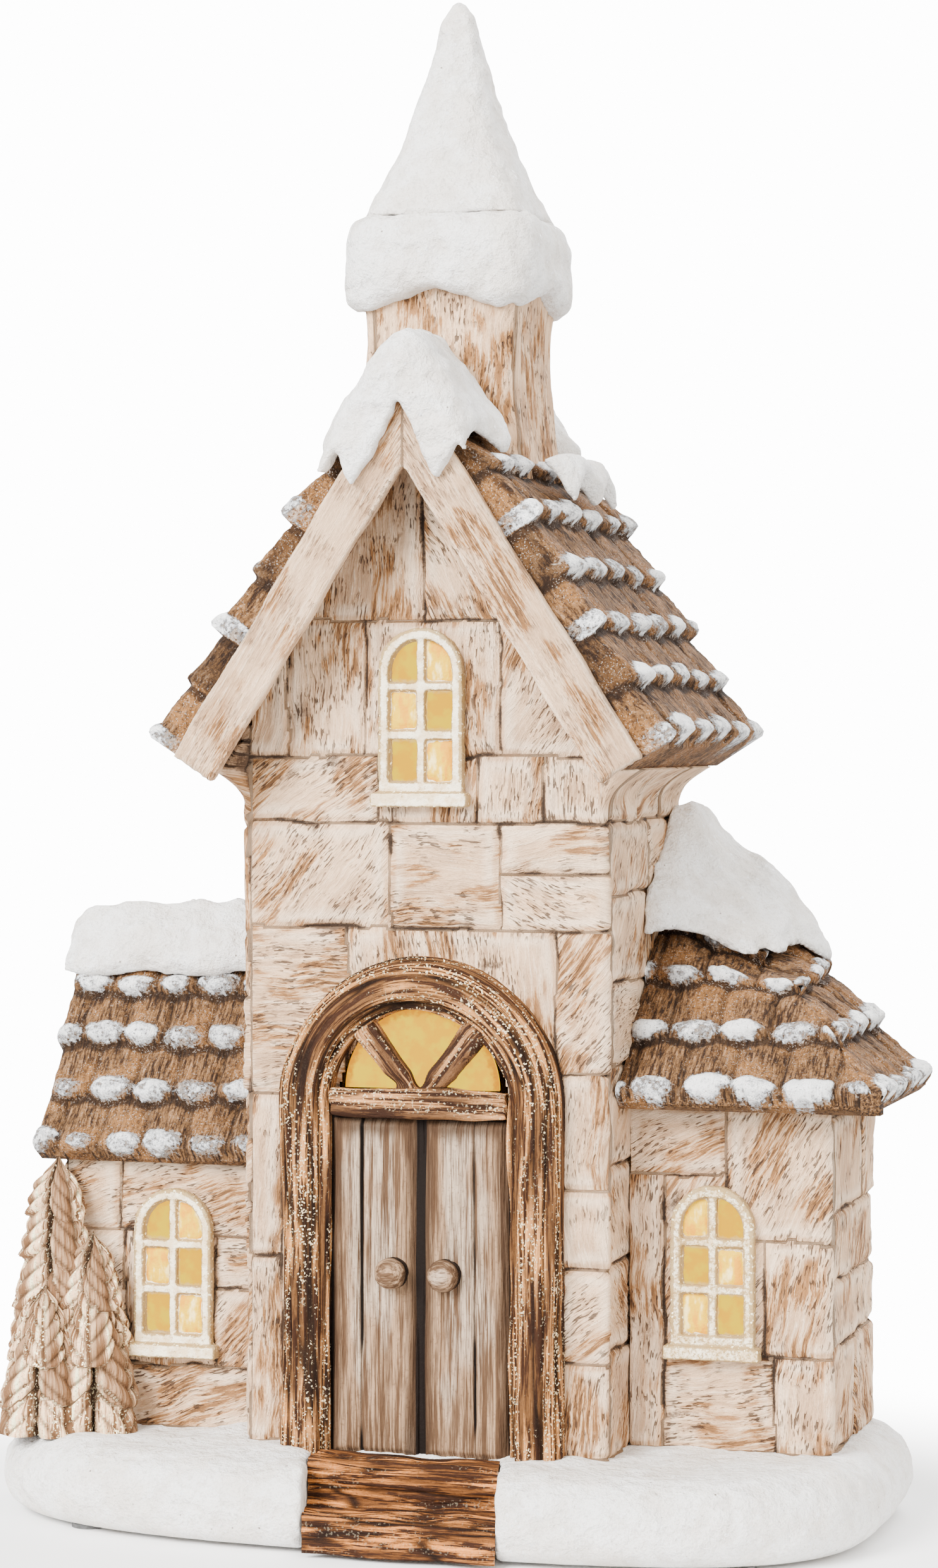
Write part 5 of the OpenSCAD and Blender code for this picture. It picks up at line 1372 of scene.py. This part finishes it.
@dataclass
class Snow:
    """Everything that the snow lies on."""

    snow: SnowPaint = SnowPaint()

    def _soft(self, node: str, voxel: float, rounds: int, lump: float, size: float, seed: int,
              lift: Callable[[Array], Array] | None = None) -> None:
        """Makes one cover of snow from its CAD node.

        Args:
            node: The CAD node.
            voxel: Cell of the remesh in mm.
            rounds: Rounds of smoothing.
            lump: Height of the lumps in mm.
            size: Width of the lumps in mm.
            seed: Picks the pattern.
            lift: Takes points and gives how far each is moved.
        """

        def shape(points: Array, normals: Array) -> Array:
            """Lumps, and a little swelling that makes up for the smoothing."""
            out = lump * grain(points, size, seed, 3) + 0.45 * grain(points, 3.6, seed + 3)
            moved = points + normals * (out + 0.16 * grain(points, 1.6, seed + 5) + 0.25)[:, None]
            return moved + lift(points) if lift else moved

        Remade(node, voxel, rounds).build(node + "_soft", self.snow, "snow_paint", shape)

    def base(self) -> None:
        """The snow base, lumpy above and flat below."""
        low, high = box_of("base_slab")

        def shape(points: Array, normals: Array) -> Array:
            """Lumps on top and round the rim."""
            out = 1.1 * grain(points, 15, 81, 2) + 0.40 * grain(points, 4.0, 83, 2) + 0.16 * grain(points, 2.0, 84)
            free = ease(points[:, 2], low[2] + 0.5, low[2] + 4) * ease(np.abs(normals[:, 2] + 1), 0.02, 0.5)
            moved = points + normals * (out * free)[:, None]
            moved[:, 2] = np.maximum(moved[:, 2], low[2])
            moved[:, 0] = np.clip(moved[:, 0], low[0], high[0]) - 4.0 * ease(points[:, 0], 62, high[0])
            moved[:, 1] = np.clip(moved[:, 1], low[1], high[1])
            return moved

        corners = ((-50.5, -39.5, -23.0, -12.5, 22.0), (-50.5, -39.5, 29.5, 41.0, 21.6))
        Remade("base_slab", 1.2, 5, banks=corners).build("base_snow", self.snow, "snow_paint", shape)

    @staticmethod
    def _down(points: Array) -> Array:
        """How far down the slopes of the main roof points lie."""
        return np.abs(points[:, 0] - P.body_x) * math.cos(P.pitch) + (P.ridge - points[:, 2]) * math.sin(P.pitch)

    def _with_tiles(self, points: Array, share: float) -> Array:
        """Carries snow of the main roof outwards with the bulge of its tiles."""
        side = np.where(points[:, 0] > P.body_x, 1.0, -1.0)
        out = share * P.rise(self._down(points)) * ease(points[:, 1], P.roof_front - 3.0, P.roof_front + 1.0)
        return np.column_stack([side * math.sin(P.pitch) * out, out * 0, math.cos(P.pitch) * out])

    def _gable_hem(self, points: Array) -> Array:
        """Draws the hem of the gable snow up the slopes, more on the right."""
        dx, down = points[:, 0] - P.body_x, self._down(points)
        pull = ease(down, 4, 14) * (3.2 + 3.8 * ease(dx, -2.0, 6.0) * ease(down, 18, 42))
        return np.column_stack([-np.clip(dx / 8, -1, 1) * math.cos(P.pitch) * pull, dx * 0, math.sin(P.pitch) * pull])

    @staticmethod
    def _foot_swell(points: Array) -> Array:
        """Thickens the snow on the right of the tower's foot."""
        out = 3.4 * ease(points[:, 0], 15.0, 20.0)
        return np.column_stack([out * math.sin(P.pitch), out * 0, out * math.cos(P.pitch)])

    @staticmethod
    def _right_bank(points: Array) -> Array:
        """Rounds the hip of the right snow and banks it up against the wall."""
        bank = -10.0 * ease(-points[:, 0], -60, -45) * ease(points[:, 2], 116, 132) * ease(-points[:, 1], -44, -38)
        return np.column_stack([bank * 0, bank, P.fold(points)])

    @staticmethod
    def _left_hem(points: Array) -> Array:
        """Draws the hem of the left snow up its slope, and its end outwards."""
        pull = 4.4 * ease(points[:, 2] * -1, -127, -110)
        back = np.clip((P.left_mid - points[:, 1]) / 4, -1, 1) * pull / P.left_slope
        return np.column_stack([-2.4 * ease(-points[:, 0], 68, 86), back, pull])

    def build(self) -> None:
        """Builds all of it."""
        self.base()
        self._soft("gable_snow", 0.75, 7, 0.8, 9, 90, lambda p: self._with_tiles(p, 0.7) + self._gable_hem(p))
        self._soft("tower_foot_snow", 0.7, 8, 0.9, 6, 91, lambda p: self._with_tiles(p, 1.0) + self._foot_swell(p))
        self._soft("left_roof_snow", 0.75, 7, 0.8, 9, 92, self._left_hem)
        self._soft("right_roof_snow", 0.75, 6, 0.8, 9, 93, self._right_bank)
        self._soft("tower_cap", 0.8, 5, 0.7, 10, 94)
        self._soft("spire", 0.8, 3, 0.6, 9, 95)


@dataclass
class Doorway:
    """The arched surround, the fanlight, the double doors and the log path."""

    bark: Glitter = Glitter("bark_trim", (0.028, 0.010, 0.004), (0.36, 0.160, 0.052), (1.0, 0.82, 0.52), 0.8, 1.5)
    beam: Glitter = Glitter("beam_trim", (0.024, 0.009, 0.004), (0.27, 0.125, 0.048), (1.0, 0.82, 0.52), 0.45, 1.4)
    logs: Glitter = Glitter("path_logs", (0.024, 0.008, 0.003), (0.33, 0.118, 0.026), (1.0, 0.84, 0.58), 0.15, 1.0)
    wood: DoorClay = DoorClay()
    glass: AmberPane = AmberPane()
    arch_z: float = 95.0
    radius: float = 26.25
    width: float = 11.5
    depth: float = 7.0
    leaf_y: float = -27.0
    leaf_top: float = 91.9

    def surround(self) -> None:
        """A bark roll that is swept up, round the arch and down."""
        form = Form()
        rise = self.arch_z - P.base_top + 1.0
        total = 2 * rise + math.pi * self.radius
        ss, tt = np.meshgrid(np.linspace(0, total, 380), np.linspace(0, math.pi, 46), indexing="ij")
        angle = np.clip((ss - rise) / self.radius, 0, math.pi)
        up = np.where(ss < rise, ss - rise, np.where(ss > total - rise, total - rise - ss, 0.0))
        q = np.stack([ss, tt * 6.5, ss * 0 + 3.0], -1)
        furrow = np.abs(grain(q, (34, 2.3, 50), 101, 2))
        out = 2.5 * np.minimum(furrow, 0.5) + grain(q, (26, 7.0, 50), 102, 2)
        out = out + 0.35 * grain(q, (9, 1.0, 50), 103) - 0.95
        lip = np.exp(-(((tt - 0.42) / 0.16) ** 2)) * 0.9 - np.exp(-(((tt - 0.78) / 0.13) ** 2)) * 0.9
        out = (out + lip) * ease(np.minimum(tt, math.pi - tt), 0.0, 0.35)
        cx = -np.sign(np.cos(tt)) * np.abs(np.cos(tt)) ** 0.75
        cy = np.sin(tt) ** 0.62
        spread = self.radius + cx * (self.width / 2 + out * 0.8 * np.abs(np.cos(tt)))
        x = P.body_x - np.cos(angle) * spread
        z = self.arch_z + np.sin(angle) * spread + up
        y = P.front + 0.6 - cy * (self.depth + out)
        form.grid(np.stack([x, y, z], -1), groove=ease(0.20 - furrow, -0.02, 0.16), comb=q * [1, 1, 0])
        form.finish("door_surround_bark", self.bark, slot="trim_glitter", replaces=("door_surround",))

    def fanlight(self) -> None:
        """The beam and its two spokes, and the rippled glass behind them."""

        def marks(points: Array, normals: Array) -> dict[str, Array]:
            """Grain runs along the beam and along each spoke."""
            x, z = points[:, 0] - P.body_x, points[:, 2]
            spoke = z > self.arch_z + 3.2
            a = np.where(spoke, np.where(x > 0, math.radians(52), math.radians(128)), 0.0)
            run, across = x * np.cos(a) + z * np.sin(a), z * np.cos(a) - x * np.sin(a)
            return {"comb": np.column_stack([run, across + points[:, 1], a * 9]), "groove": np.zeros(len(points))}

        def shape(points: Array, normals: Array) -> Array:
            """Rough wood."""
            c = marks(points, normals)["comb"]
            out = 0.75 * grain(c, (14, 1.5, 40), 111, 2) + 0.5 * grain(points, 7, 112)
            out += 0.9 * ease(points[:, 2], self.arch_z + 4.0, self.arch_z + 7.0)
            return points + normals * out[:, None]

        Remade("fanlight_bars", 0.42, 4).build("fanlight_beam", self.beam, "trim_glitter", shape, marks)
        form = Form()
        r, a = np.meshgrid(np.linspace(0, 17.6, 24), np.linspace(0, math.pi, 60), indexing="ij")
        x, z = P.body_x + r * np.cos(a), 98.0 + r * np.sin(a)
        y = P.front - 0.7 - 0.25 * grain(np.stack([x, z, x * 0], -1), 5, 113, 2)
        form.grid(np.stack([x, y, z], -1), groove=ease(r, 14.5, 17.6))
        form.finish("fanlight_glass", self.glass, slot="amber_film")

    def leaf(self, name: str, node: str, x0: float, x1: float, seed: int) -> None:
        """One leaf of upright boards.

        Args:
            name: Name of the piece.
            node: The CAD node that it stands for.
            x0: Its left edge in mm.
            x1: Its right edge.
            seed: Picks the grain.
        """
        form = Form()
        vv, uu = np.meshgrid(np.linspace(0, 1, 190), np.linspace(0, 1, 74), indexing="ij")
        low = P.base_top - 1.3
        width, height = x1 - x0, self.leaf_top - low
        x, z = x0 + uu * width, low + vv * height
        q = np.stack([x, z, x * 0 + 9.0 * seed], -1)
        bend = 0.5 * grain(q, (30, 22, 50), seed)
        joint = (0.36 if seed % 2 else 0.60) * width
        d = np.abs(uu * width + bend - joint)
        board = (uu * width + bend > joint).astype(float)
        rim = np.minimum(np.minimum(uu, 1 - uu) * width + 0.35 * bend, np.minimum(vv, 1 - vv) * height)
        comb = np.stack([z, x + 11.0 * board + 0.9 * bend, board * 13.0], -1)
        lift = 0.42 * grain(comb, (18, 1.25, 3), seed + 3, 2) + 0.20 * grain(comb, (30, 0.7, 3), seed + 6)
        lift = lift + 0.35 * np.sin(board * 2.1 + seed) + 0.5 * grain(q, 20, seed + 8)
        fade = ease(grain(q, (6, 16, 50), seed + 12, 2), -0.30, 0.25)
        lift = lift - 0.60 * fade * np.exp(-((d / 0.5) ** 2)) - 1.35 * (1 - ease(rim, 0.0, 2.2))
        far = np.minimum(uu, 1 - uu) * width
        # Marks: board joints with painted shadow round the rim, pale middles, and painted shade along the sides and
        # under the top.
        marks = {"groove": np.maximum(0.85 * fade * np.exp(-((d / 0.42) ** 2)), 1 - ease(rim, 0.0, 0.9)),
                 "worn": ease(far, 2.5, 7.0) * ease(vv, 0.05, 0.35), "comb": comb,
                 "dirt": np.maximum(1 - ease(far, 0.4, 4.6), 1 - ease((1 - vv) * height, 0.5, 8.0)) * 0.9}
        grid, back = np.stack([x, self.leaf_y - lift, z], -1), np.stack([x, x * 0 + P.front, z], -1)
        form.grid(grid, **marks)
        for edge in RIM:
            form.grid(np.stack([grid[edge], back[edge]]), **{k: np.stack([m[edge]] * 2) for k, m in marks.items()})
        # A near-black strip behind the gap between the leaves: painted shadow where there is only shade.
        if x0 < 0:
            form.grid(np.array([[[x1 - 1.0, self.leaf_y + 1.75, h], [x1 + 2.8, self.leaf_y + 1.75, h]]
                                for h in (low, self.leaf_top)]), groove=np.ones(4), dirt=np.ones(4))
        form.finish(name, self.wood, slot="door_clay", replaces=(node,))

    def knobs(self) -> None:
        """Two turned knobs, each on its leaf, a little uneven from the hand."""
        form = Form()
        profile = [(0.0, 4.4), (1.4, 4.25), (2.6, 3.6), (3.35, 2.5), (3.5, 1.5), (3.1, 0.6), (3.4, 0.3), (3.5, -1.0)]
        # The groove and the last mark paint shade into the neck of each knob and round its foot on the leaf; the worn
        # mark pales its tip.
        marks = {"groove": (0, 0, 0, 0, 0.1, 0.7, 0.5, 0.9), "worn": (0.4, 0.3, 0, 0, 0, 0, 0, 0),
                 "dirt": (0, 0.1, 0.2, 0.4, 0.7, 1, 1, 1)}
        turns = np.linspace(0, 2 * math.pi, 29)[:-1]
        for side, x in ((-1, -5.0), (1, 7.0)):
            rings = np.array([[(x + r * math.cos(t), self.leaf_y - h, 58.0 + r * math.sin(t)) for t in turns]
                              for r, h in profile])
            rings = rings + 0.22 * grain(rings, 2.2, 120 + side, 2)[..., None] * unit(rings - [x, -27.0, 58.0])
            form.grid(rings, None, True, comb=rings[..., [0, 2, 1]] * [2, 0.5, 1],
                      **{k: np.repeat(row, len(turns)) for k, row in marks.items()})
        form.finish("door_knobs_turned", self.wood, slot="door_clay", replaces=("door_knobs",))

    def path(self) -> None:
        """Two half logs across the path, furrowed from side to side."""
        form = Form()
        noses = ((-26.5, 18.9), (-36.2, 18.7), (-38.6, 18.0), (-39.4, 16.6), (-39.3, 13.0), (-38.8, 10.4),
                 (-40.0, 9.9), (-49.0, 9.8), (-51.0, 9.0), (-51.9, 7.4), (-52.0, 4.0), (-51.6, 1.05))
        points = np.array(noses)
        length = np.concatenate([[0], np.cumsum(np.linalg.norm(np.diff(points, axis=0), axis=1))])
        s = np.linspace(0, length[-1], 96)
        y, z = np.interp(s, length, points[:, 0]), np.interp(s, length, points[:, 1])
        ss, xx = np.meshgrid(s, np.linspace(0.05, 42.95, 78), indexing="ij")
        q = np.stack([xx, ss, ss * 0 + 5.0], -1)
        furrow = np.abs(grain(q, (19, 2.4, 50), 131, 2))
        lift = 1.7 * np.minimum(furrow, 0.45) - 0.9 + 0.45 * grain(q, 9, 133, 2)
        py = np.maximum(y[:, None] + np.gradient(z, s)[:, None] * lift, -52.0)
        pz = np.maximum(z[:, None] - np.gradient(y, s)[:, None] * lift, 1.05)
        px = -23.5 + xx + 6.0 * (-26.5 - y[:, None]) / 25.5
        form.grid(np.stack([px, py, pz], -1), groove=ease(0.13 - furrow, -0.06, 0.12), comb=q * [1, 1, 0])
        form.finish("path_logs_furrowed", self.logs, slot="path_clay", replaces=("path_steps",))

    def build(self) -> None:
        """Builds all of it."""
        self.surround()
        self.fanlight()
        self.leaf("door_leaf_left_boards", "door_leaf_left", -19.5, 0.45, 141)
        self.leaf("door_leaf_right_boards", "door_leaf_right", 1.55, 21.5, 142)
        self.knobs()
        self.path()


@dataclass
class Windows:
    """Arched frames with six panes each, three of them lit."""

    frames: tuple[GiltIvory, ...] = (
        GiltIvory(), GiltIvory("gilt_ivory_left", 0.05), GiltIvory("gilt_ivory_right", 0.30))
    lit: AmberPane = AmberPane("lit_pane", (0.95, 0.62, 0.22))
    blind: BlindPane = BlindPane()
    bar: float = 1.7
    fits: Triple = (0.97, 0.94, 0.94)

    @staticmethod
    def _fitted(points: Array, place: Triple, fit: float) -> Array:
        """Draws points in towards the middle of their window."""
        middle = np.array([place[0], 0.0, place[2] + P.win_h / 2])
        return middle + (points - middle) * np.array([fit, 1.0, fit])

    def _pane(self, form: Form, place: Triple, row: int, col: int, out: float, dome: float,
              grow: float, seed: int, fit: float) -> None:
        """Adds one domed pane.

        Args:
            form: Takes the pane.
            place: Middle, wall plane and foot of the window.
            row: Row from below.
            col: Column from the left.
            out: How far it stands before the wall.
            dome: How far its middle stands out further.
            grow: How far it reaches under the bars.
            seed: Picks the ripple.
            fit: Size of the window against its CAD node.
        """
        x0, wall, z0 = place
        inner_w, inner_h = P.win_w - 2 * P.win_border, P.win_h - 2 * P.win_border
        left = (col - 1) * inner_w / 2 + (self.bar / 2 if col else 0.0) - grow
        right = col * inner_w / 2 - (0.0 if col else self.bar / 2) + grow
        low = row * inner_h / 3 + (self.bar / 2 if row else 0.0) - grow
        high = (row + 1) * inner_h / 3 - (self.bar / 2 if row < 2 else 0.0) + grow
        u, v = np.meshgrid(np.linspace(-1, 1, 19), np.linspace(-1, 1, 23))
        squeeze_u, squeeze_v = u * np.sqrt(1 - 0.16 * v**6), v * np.sqrt(1 - 0.16 * u**6)
        x = (left + right) / 2 + squeeze_u * (right - left) / 2
        z = (low + high) / 2 + squeeze_v * (high - low) / 2
        r = inner_w / 2 + grow
        up = z - (inner_h - inner_w / 2)
        far = np.hypot(x, up)
        over = (up > 0) & (far > r)
        share = r / np.maximum(far, 0.1)
        x, z = np.where(over, x * share, x), np.where(over, z - up + up * share, z)
        rim = np.minimum(1 - np.abs(u), 1 - np.abs(v))
        ripple = grain(np.stack([x + x0, z + z0, x * 0 + 4.0 * seed], -1), 3.2, seed, 2)
        y = wall - out - dome * ease(rim, 0.0, 0.55) - 0.12 * ripple
        pane = self._fitted(np.stack([x + x0, y, z + z0 + P.win_border], -1), place, fit)
        form.grid(pane, groove=1 - ease(rim, 0.0, 0.4))

    def build(self) -> None:
        """Builds the three windows."""
        for k, (name, place) in enumerate(zip(("gable", "left", "right"), P.windows)):

            def shape(points: Array, normals: Array, k: int = k, place: Triple = place) -> Array:
                """A hand-pressed frame."""
                out = 0.20 * grain(points, 2.6, 150 + k, 2) + 0.10 * grain(points, 0.9, 154 + k) + 0.12
                return self._fitted(points + normals * out[:, None], place, self.fits[k])

            def marks(points: Array, normals: Array, k: int = k, place: Triple = place) -> dict[str, Array]:
                """Gold gathers on the outline and on what doesn't face the front."""
                rim = P.window(k, points[:, 0], points[:, 2])
                outline = (1 - ease(rim, 0.25, 0.9)) * (points[:, 2] > place[2] + 2.6)
                return {"groove": np.maximum(1 - ease(-normals[:, 1], 0.60, 0.985), outline)}

            node = f"{name}_window_frame"
            Remade(node, 0.36, 3).build(f"{name}_window_glitter_frame", self.frames[k], "frame_gold", shape, marks)
            lit, blind = Form(), Form()
            for number in range(6):
                row, col = divmod(number, 2)
                form, out, dome, grow, seed = (
                    (lit, 0.35, 0.3, 0.35, 160) if (row + col) % 2 == int(name == "right")
                    else (blind, 0.85, 0.45, 0.25, 170))
                self._pane(form, place, row, col, out, dome, grow, seed + number + 10 * k, self.fits[k])
            lit.finish(f"{name}_lit_panes", self.lit, slot="amber_film")
            blind.finish(f"{name}_blind_panes", self.blind, slot="frame_gold")


@dataclass
class Spruces:
    """The spruces at the corner of the left wing, of fronds in relief that hang like scales."""

    glitter: Glitter = Glitter("spruce_glitter", (0.150, 0.072, 0.032), (0.60, 0.385, 0.225), (1.0, 0.86, 0.55), 0.8)
    trees: tuple[tuple[float, float, float, float], ...] = (
        (-87.5, -18.0, 62.0, 11.5), (-78.0, -20.5, 45.0, 8.4), (-91.3, -12.0, 50.0, 8.8), (-88.0, -24.5, 33.0, 8.6))

    @staticmethod
    def _relief(angle: Array, up: Array, radius: float, height: float, seed: int) -> tuple[Array, Array, Array]:
        """Fronds of one tree: points at the top, broad free ends below, ribs from a spine.

        Args:
            angle: Places round the trunk, in radians.
            up: Heights above the foot.
            radius: Radius at the foot.
            height: Height of the tree.
            seed: Picks the pattern.

        Returns:
            The relief in mm, the groove mark and the comb coordinates.
        """
        rng = np.random.default_rng(seed)
        # Where no frond lies, the groove mark is full: darkening in the gaps between fronds, stain and painted shade.
        best, groove = np.full_like(up, -0.4), np.ones_like(up)
        comb = np.stack([up, angle * radius, up * 0], -1)
        foot = -6.0
        while foot < height - 9.0:
            share = max(foot, 0.0) / height
            around = 2 * math.pi * (radius * (1 - share) ** 0.8 + 1.4)
            count = max(3, round(around / 16.5))
            length = 29.0 - 10.0 * share
            turn = angle / (2 * math.pi) * count + rng.uniform(0, 1)
            number = np.floor(turn).astype(int)
            own = rng.uniform(-1, 1, (count + 3, 3))[number % count]
            a = (turn - number - 0.5) * 2
            b = (up - foot - 2.0 * own[..., 0]) / (length * (1 + 0.10 * own[..., 1]))
            half = np.sin(np.clip(b, 0, 1) ** 0.55 * math.pi) ** 0.75 * 0.98
            c = np.clip(np.abs(a) / np.maximum(half, 0.02), 0, 1.2)
            inside = (b > 0) & (b < 1) & (c < 1)
            ribs = np.abs(np.sin((b * 15.0 - np.abs(a) * 4.2 + own[..., 2]) * 1.25))
            spine = np.exp(-((a / 0.09) ** 2))
            lift = (4.2 * np.clip(1 - b, 0, 1) ** 0.8 + 0.8) * np.sqrt(np.clip(1 - c**2.6, 0, 1))
            lift = lift + 0.95 * ribs - 0.8 * spine
            take = inside & (lift > best)
            best = np.where(take, lift, best)
            low = np.maximum(ease(0.55 - ribs, 0.0, 0.40) * 0.85, ease(c, 0.78, 1.0))
            groove = np.where(take, np.maximum(low, 0.7 * spine), groove)
            comb = np.where(take[..., None], np.stack([b * 16 + np.abs(a) * 7, a * 5 + 9.0 * number, b * 0], -1), comb)
            foot += 11.5 - 3.6 * share
        return best, groove, comb

    def build(self) -> None:
        """Builds the trees."""
        form = Form()
        for n, (x, y, height, radius) in enumerate(self.trees):
            turns, levels = np.linspace(0, 2 * math.pi, 109)[:-1], np.linspace(0, 1, round(height / 0.5))
            share, angle = np.meshgrid(levels, turns, indexing="ij")
            lift, groove, comb = self._relief(angle, share * height, radius, height, 180 + n)
            rough = grain(np.stack([angle * 6, share * height, angle * 0], -1), 2.6, 190 + n, 2)
            r = (radius * 0.74 * (1 - share) ** 0.85) + (lift + 0.35 * rough) * ease(1 - share, 0.0, 0.12)
            r = np.maximum(r, 0.05)
            skin = np.stack([x + r * np.cos(angle), y + r * np.sin(angle) * 0.85,
                             P.base_top - 0.5 + share * height], -1)
            form.grid(skin, None, True, comb=comb, groove=groove)
        form.finish("spruce_fronds", self.glitter, slot="tree_glitter", replaces=("spruce_trees",))


@dataclass
class LightUnit:
    """The battery unit under the house: the CAD pieces with their finishes."""

    finishes: dict[str, Fabricated] = field(default_factory=lambda: {
        "battery_box": Fabricated("black_shell", (0.018, 0.018, 0.020), (0.035, 0.035, 0.038), rough=0.55),
        "battery_cover": Fabricated("black_cover", (0.022, 0.022, 0.024), (0.040, 0.040, 0.043), rough=0.5),
        "cover_screw": Fabricated("zinc_screw", (0.60, 0.61, 0.64), (0.45, 0.46, 0.48), 1.0, 0.32, 3.0),
        "batteries": Fabricated("cell_jacket", (0.42, 0.43, 0.45), (0.30, 0.31, 0.33), 0.9, 0.35, 0.8),
        "battery_springs": Fabricated("spring_steel", (0.62, 0.62, 0.63), (0.5, 0.5, 0.5), 1.0, 0.3, 3.0),
        "contact_plates": Fabricated("contact_steel", (0.66, 0.64, 0.58), (0.5, 0.5, 0.46), 1.0, 0.35, 2.0),
        "timer_board": Fabricated("board_lacquer", (0.02, 0.16, 0.07), (0.03, 0.22, 0.09), rough=0.35),
        "timer_chip": Fabricated("chip_resin", (0.015, 0.015, 0.015), (0.03, 0.03, 0.03), rough=0.6),
        "switch_housing": Fabricated("switch_shell", (0.03, 0.03, 0.03), (0.05, 0.05, 0.05), rough=0.5),
        "switch_slider": Fabricated("switch_knob", (0.80, 0.80, 0.77), (0.70, 0.70, 0.66), rough=0.45),
        "lamp_post": Fabricated("post_plastic", (0.82, 0.82, 0.79), (0.72, 0.72, 0.69), rough=0.5),
        "led_lamps": Fabricated("lamp_lens", (0.95, 0.85, 0.55), (0.98, 0.90, 0.66), rough=0.2),
        "lamp_wires": Fabricated("wire_sleeve", (0.45, 0.02, 0.015), (0.35, 0.015, 0.01), rough=0.45),
        "foot_pads": Fabricated("pad_felt", (0.06, 0.06, 0.06), (0.13, 0.13, 0.13), rough=0.92, size=2.6, depth=0.3),
    })
    amber: AmberPane = AmberPane("film_amber")

    def build(self) -> None:
        """Gives each CAD piece its material."""
        films = {n: self.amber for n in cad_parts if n.endswith("_film")}
        for node, finish in {**self.finishes, **films}.items():
            dress(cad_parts[node], finish)
            log.info("%s dressed as %s", node, finish.name)


@dataclass
class Studio:
    """A pale floor, soft light and the camera at the photograph's angle."""

    distance: float = 850.0
    azimuth: float = math.radians(17.0)
    height: float = 177.0
    focal_px: float = 6000.0
    size: tuple[int, int] = (1484, 2481)
    centre: tuple[float, float] = (734.0, 1150.0)
    ambient: float = 2.0
    white: float = 14.0
    key: float = 104.0

    def camera(self) -> None:
        """Sets the camera up from the pinhole model of the photograph."""
        data = bpy.data.cameras.new("camera")
        data.sensor_fit = "VERTICAL"
        data.sensor_height = 36.0
        data.sensor_width = 36.0
        data.lens = 36.0 * self.focal_px / self.size[1]
        data.clip_start, data.clip_end = 0.05, 20.0
        data.shift_x = (self.size[0] / 2 - self.centre[0]) / self.size[1]
        data.shift_y = -(self.size[1] / 2 - self.centre[1]) / self.size[1]
        eye = bpy.data.objects.new("camera", data)
        eye.location = ((3.0 + self.distance * math.sin(self.azimuth)) * MM,
                        -self.distance * math.cos(self.azimuth) * MM, self.height * MM)
        eye.rotation_euler = (math.radians(90.0), 0.0, self.azimuth)
        bpy.context.scene.collection.objects.link(eye)
        bpy.context.scene.camera = eye

    def _area(self, name: str, place: Triple, size: float, power: float, warm: Colour) -> None:
        """Adds a soft light that looks at the house."""
        data = bpy.data.lights.new(name, "AREA")
        data.size, data.energy, data.color = size, power, warm
        lamp = bpy.data.objects.new(name, data)
        lamp.location = place
        way = Vector((0.0, 0.0, 0.16)) - Vector(place)
        lamp.rotation_euler = way.to_track_quat("-Z", "Y").to_euler()
        bpy.context.scene.collection.objects.link(lamp)

    def floor(self) -> None:
        """Lays a pale floor that fades into the white round it."""
        mesh = bpy.data.meshes.new("floor")
        angle = np.linspace(0, 2 * math.pi, 96, endpoint=False)
        rings = [np.stack([np.cos(angle), np.sin(angle) * 0.8, angle * 0], 1) * r for r in (0.05, 0.2, 0.42)]
        faces = [[k * 96 + i, k * 96 + (i + 1) % 96, (k + 1) * 96 + (i + 1) % 96, (k + 1) * 96 + i]
                 for k in range(2) for i in range(96)] + [list(range(96))]
        mesh.from_pydata(np.concatenate(rings).tolist(), [], faces)
        ground = bpy.data.objects.new("floor", mesh)
        bpy.context.scene.collection.objects.link(ground)
        p = Paint("floor_paper")
        away = p.node("ShaderNodeVectorMath", {"operation": "LENGTH"}, {0: p.place((1.0, 1.25, 1.0))}, 1)
        p.link("Base Color", p.mix(p.noise(p.place(), 0.01), (0.94, 0.94, 0.94), (0.95, 0.95, 0.95)))
        p.link("Alpha", 1.0 - away.clip(118.0, 260.0))
        p.link("Roughness", 0.9)
        ground.data.materials.append(p.mat)

    def world(self) -> None:
        """Lights the set from all round, with a brighter white behind it."""
        world = bpy.data.worlds.new("studio")
        world.use_nodes = True
        tree = world.node_tree
        sky = tree.nodes["Background"]
        backdrop, choose, seen = (
            tree.nodes.new("ShaderNode" + kind) for kind in ("Background", "MixShader", "LightPath"))
        for shade, strength in ((sky, self.ambient), (backdrop, self.white)):
            shade.inputs["Color"].default_value = (1.0, 1.0, 1.0, 1.0)
            shade.inputs["Strength"].default_value = strength
        for k, source in enumerate((seen.outputs["Is Camera Ray"], sky.outputs[0], backdrop.outputs[0])):
            tree.links.new(source, choose.inputs[k])
        tree.links.new(choose.outputs[0], tree.nodes["World Output"].inputs[0])
        bpy.context.scene.world = world

    def build(self) -> None:
        """Builds the set."""
        self.camera()
        self.floor()
        self.world()
        self._area("key", (-0.55, -1.35, 0.95), 0.8, self.key, (1.0, 0.99, 0.97))
        self._area("fill", (1.25, -0.9, 0.6), 1.1, self.key * 0.19, (1.0, 0.91, 0.78))
        self._area("rim", (0.3, 1.3, 1.1), 0.9, self.key * 0.35, (1.0, 1.0, 1.0))
        log.info("studio: camera, floor and three lights")


def main() -> None:
    """Builds the dressed house from its sub-assemblies, in order."""
    logging.basicConfig(level=logging.INFO, format="%(name)s: %(message)s")
    for assembly in (Walls, Roofs, Snow, Doorway, Windows, Spruces, LightUnit, Studio):
        assembly().build()


if __name__ == "__main__":
    main()
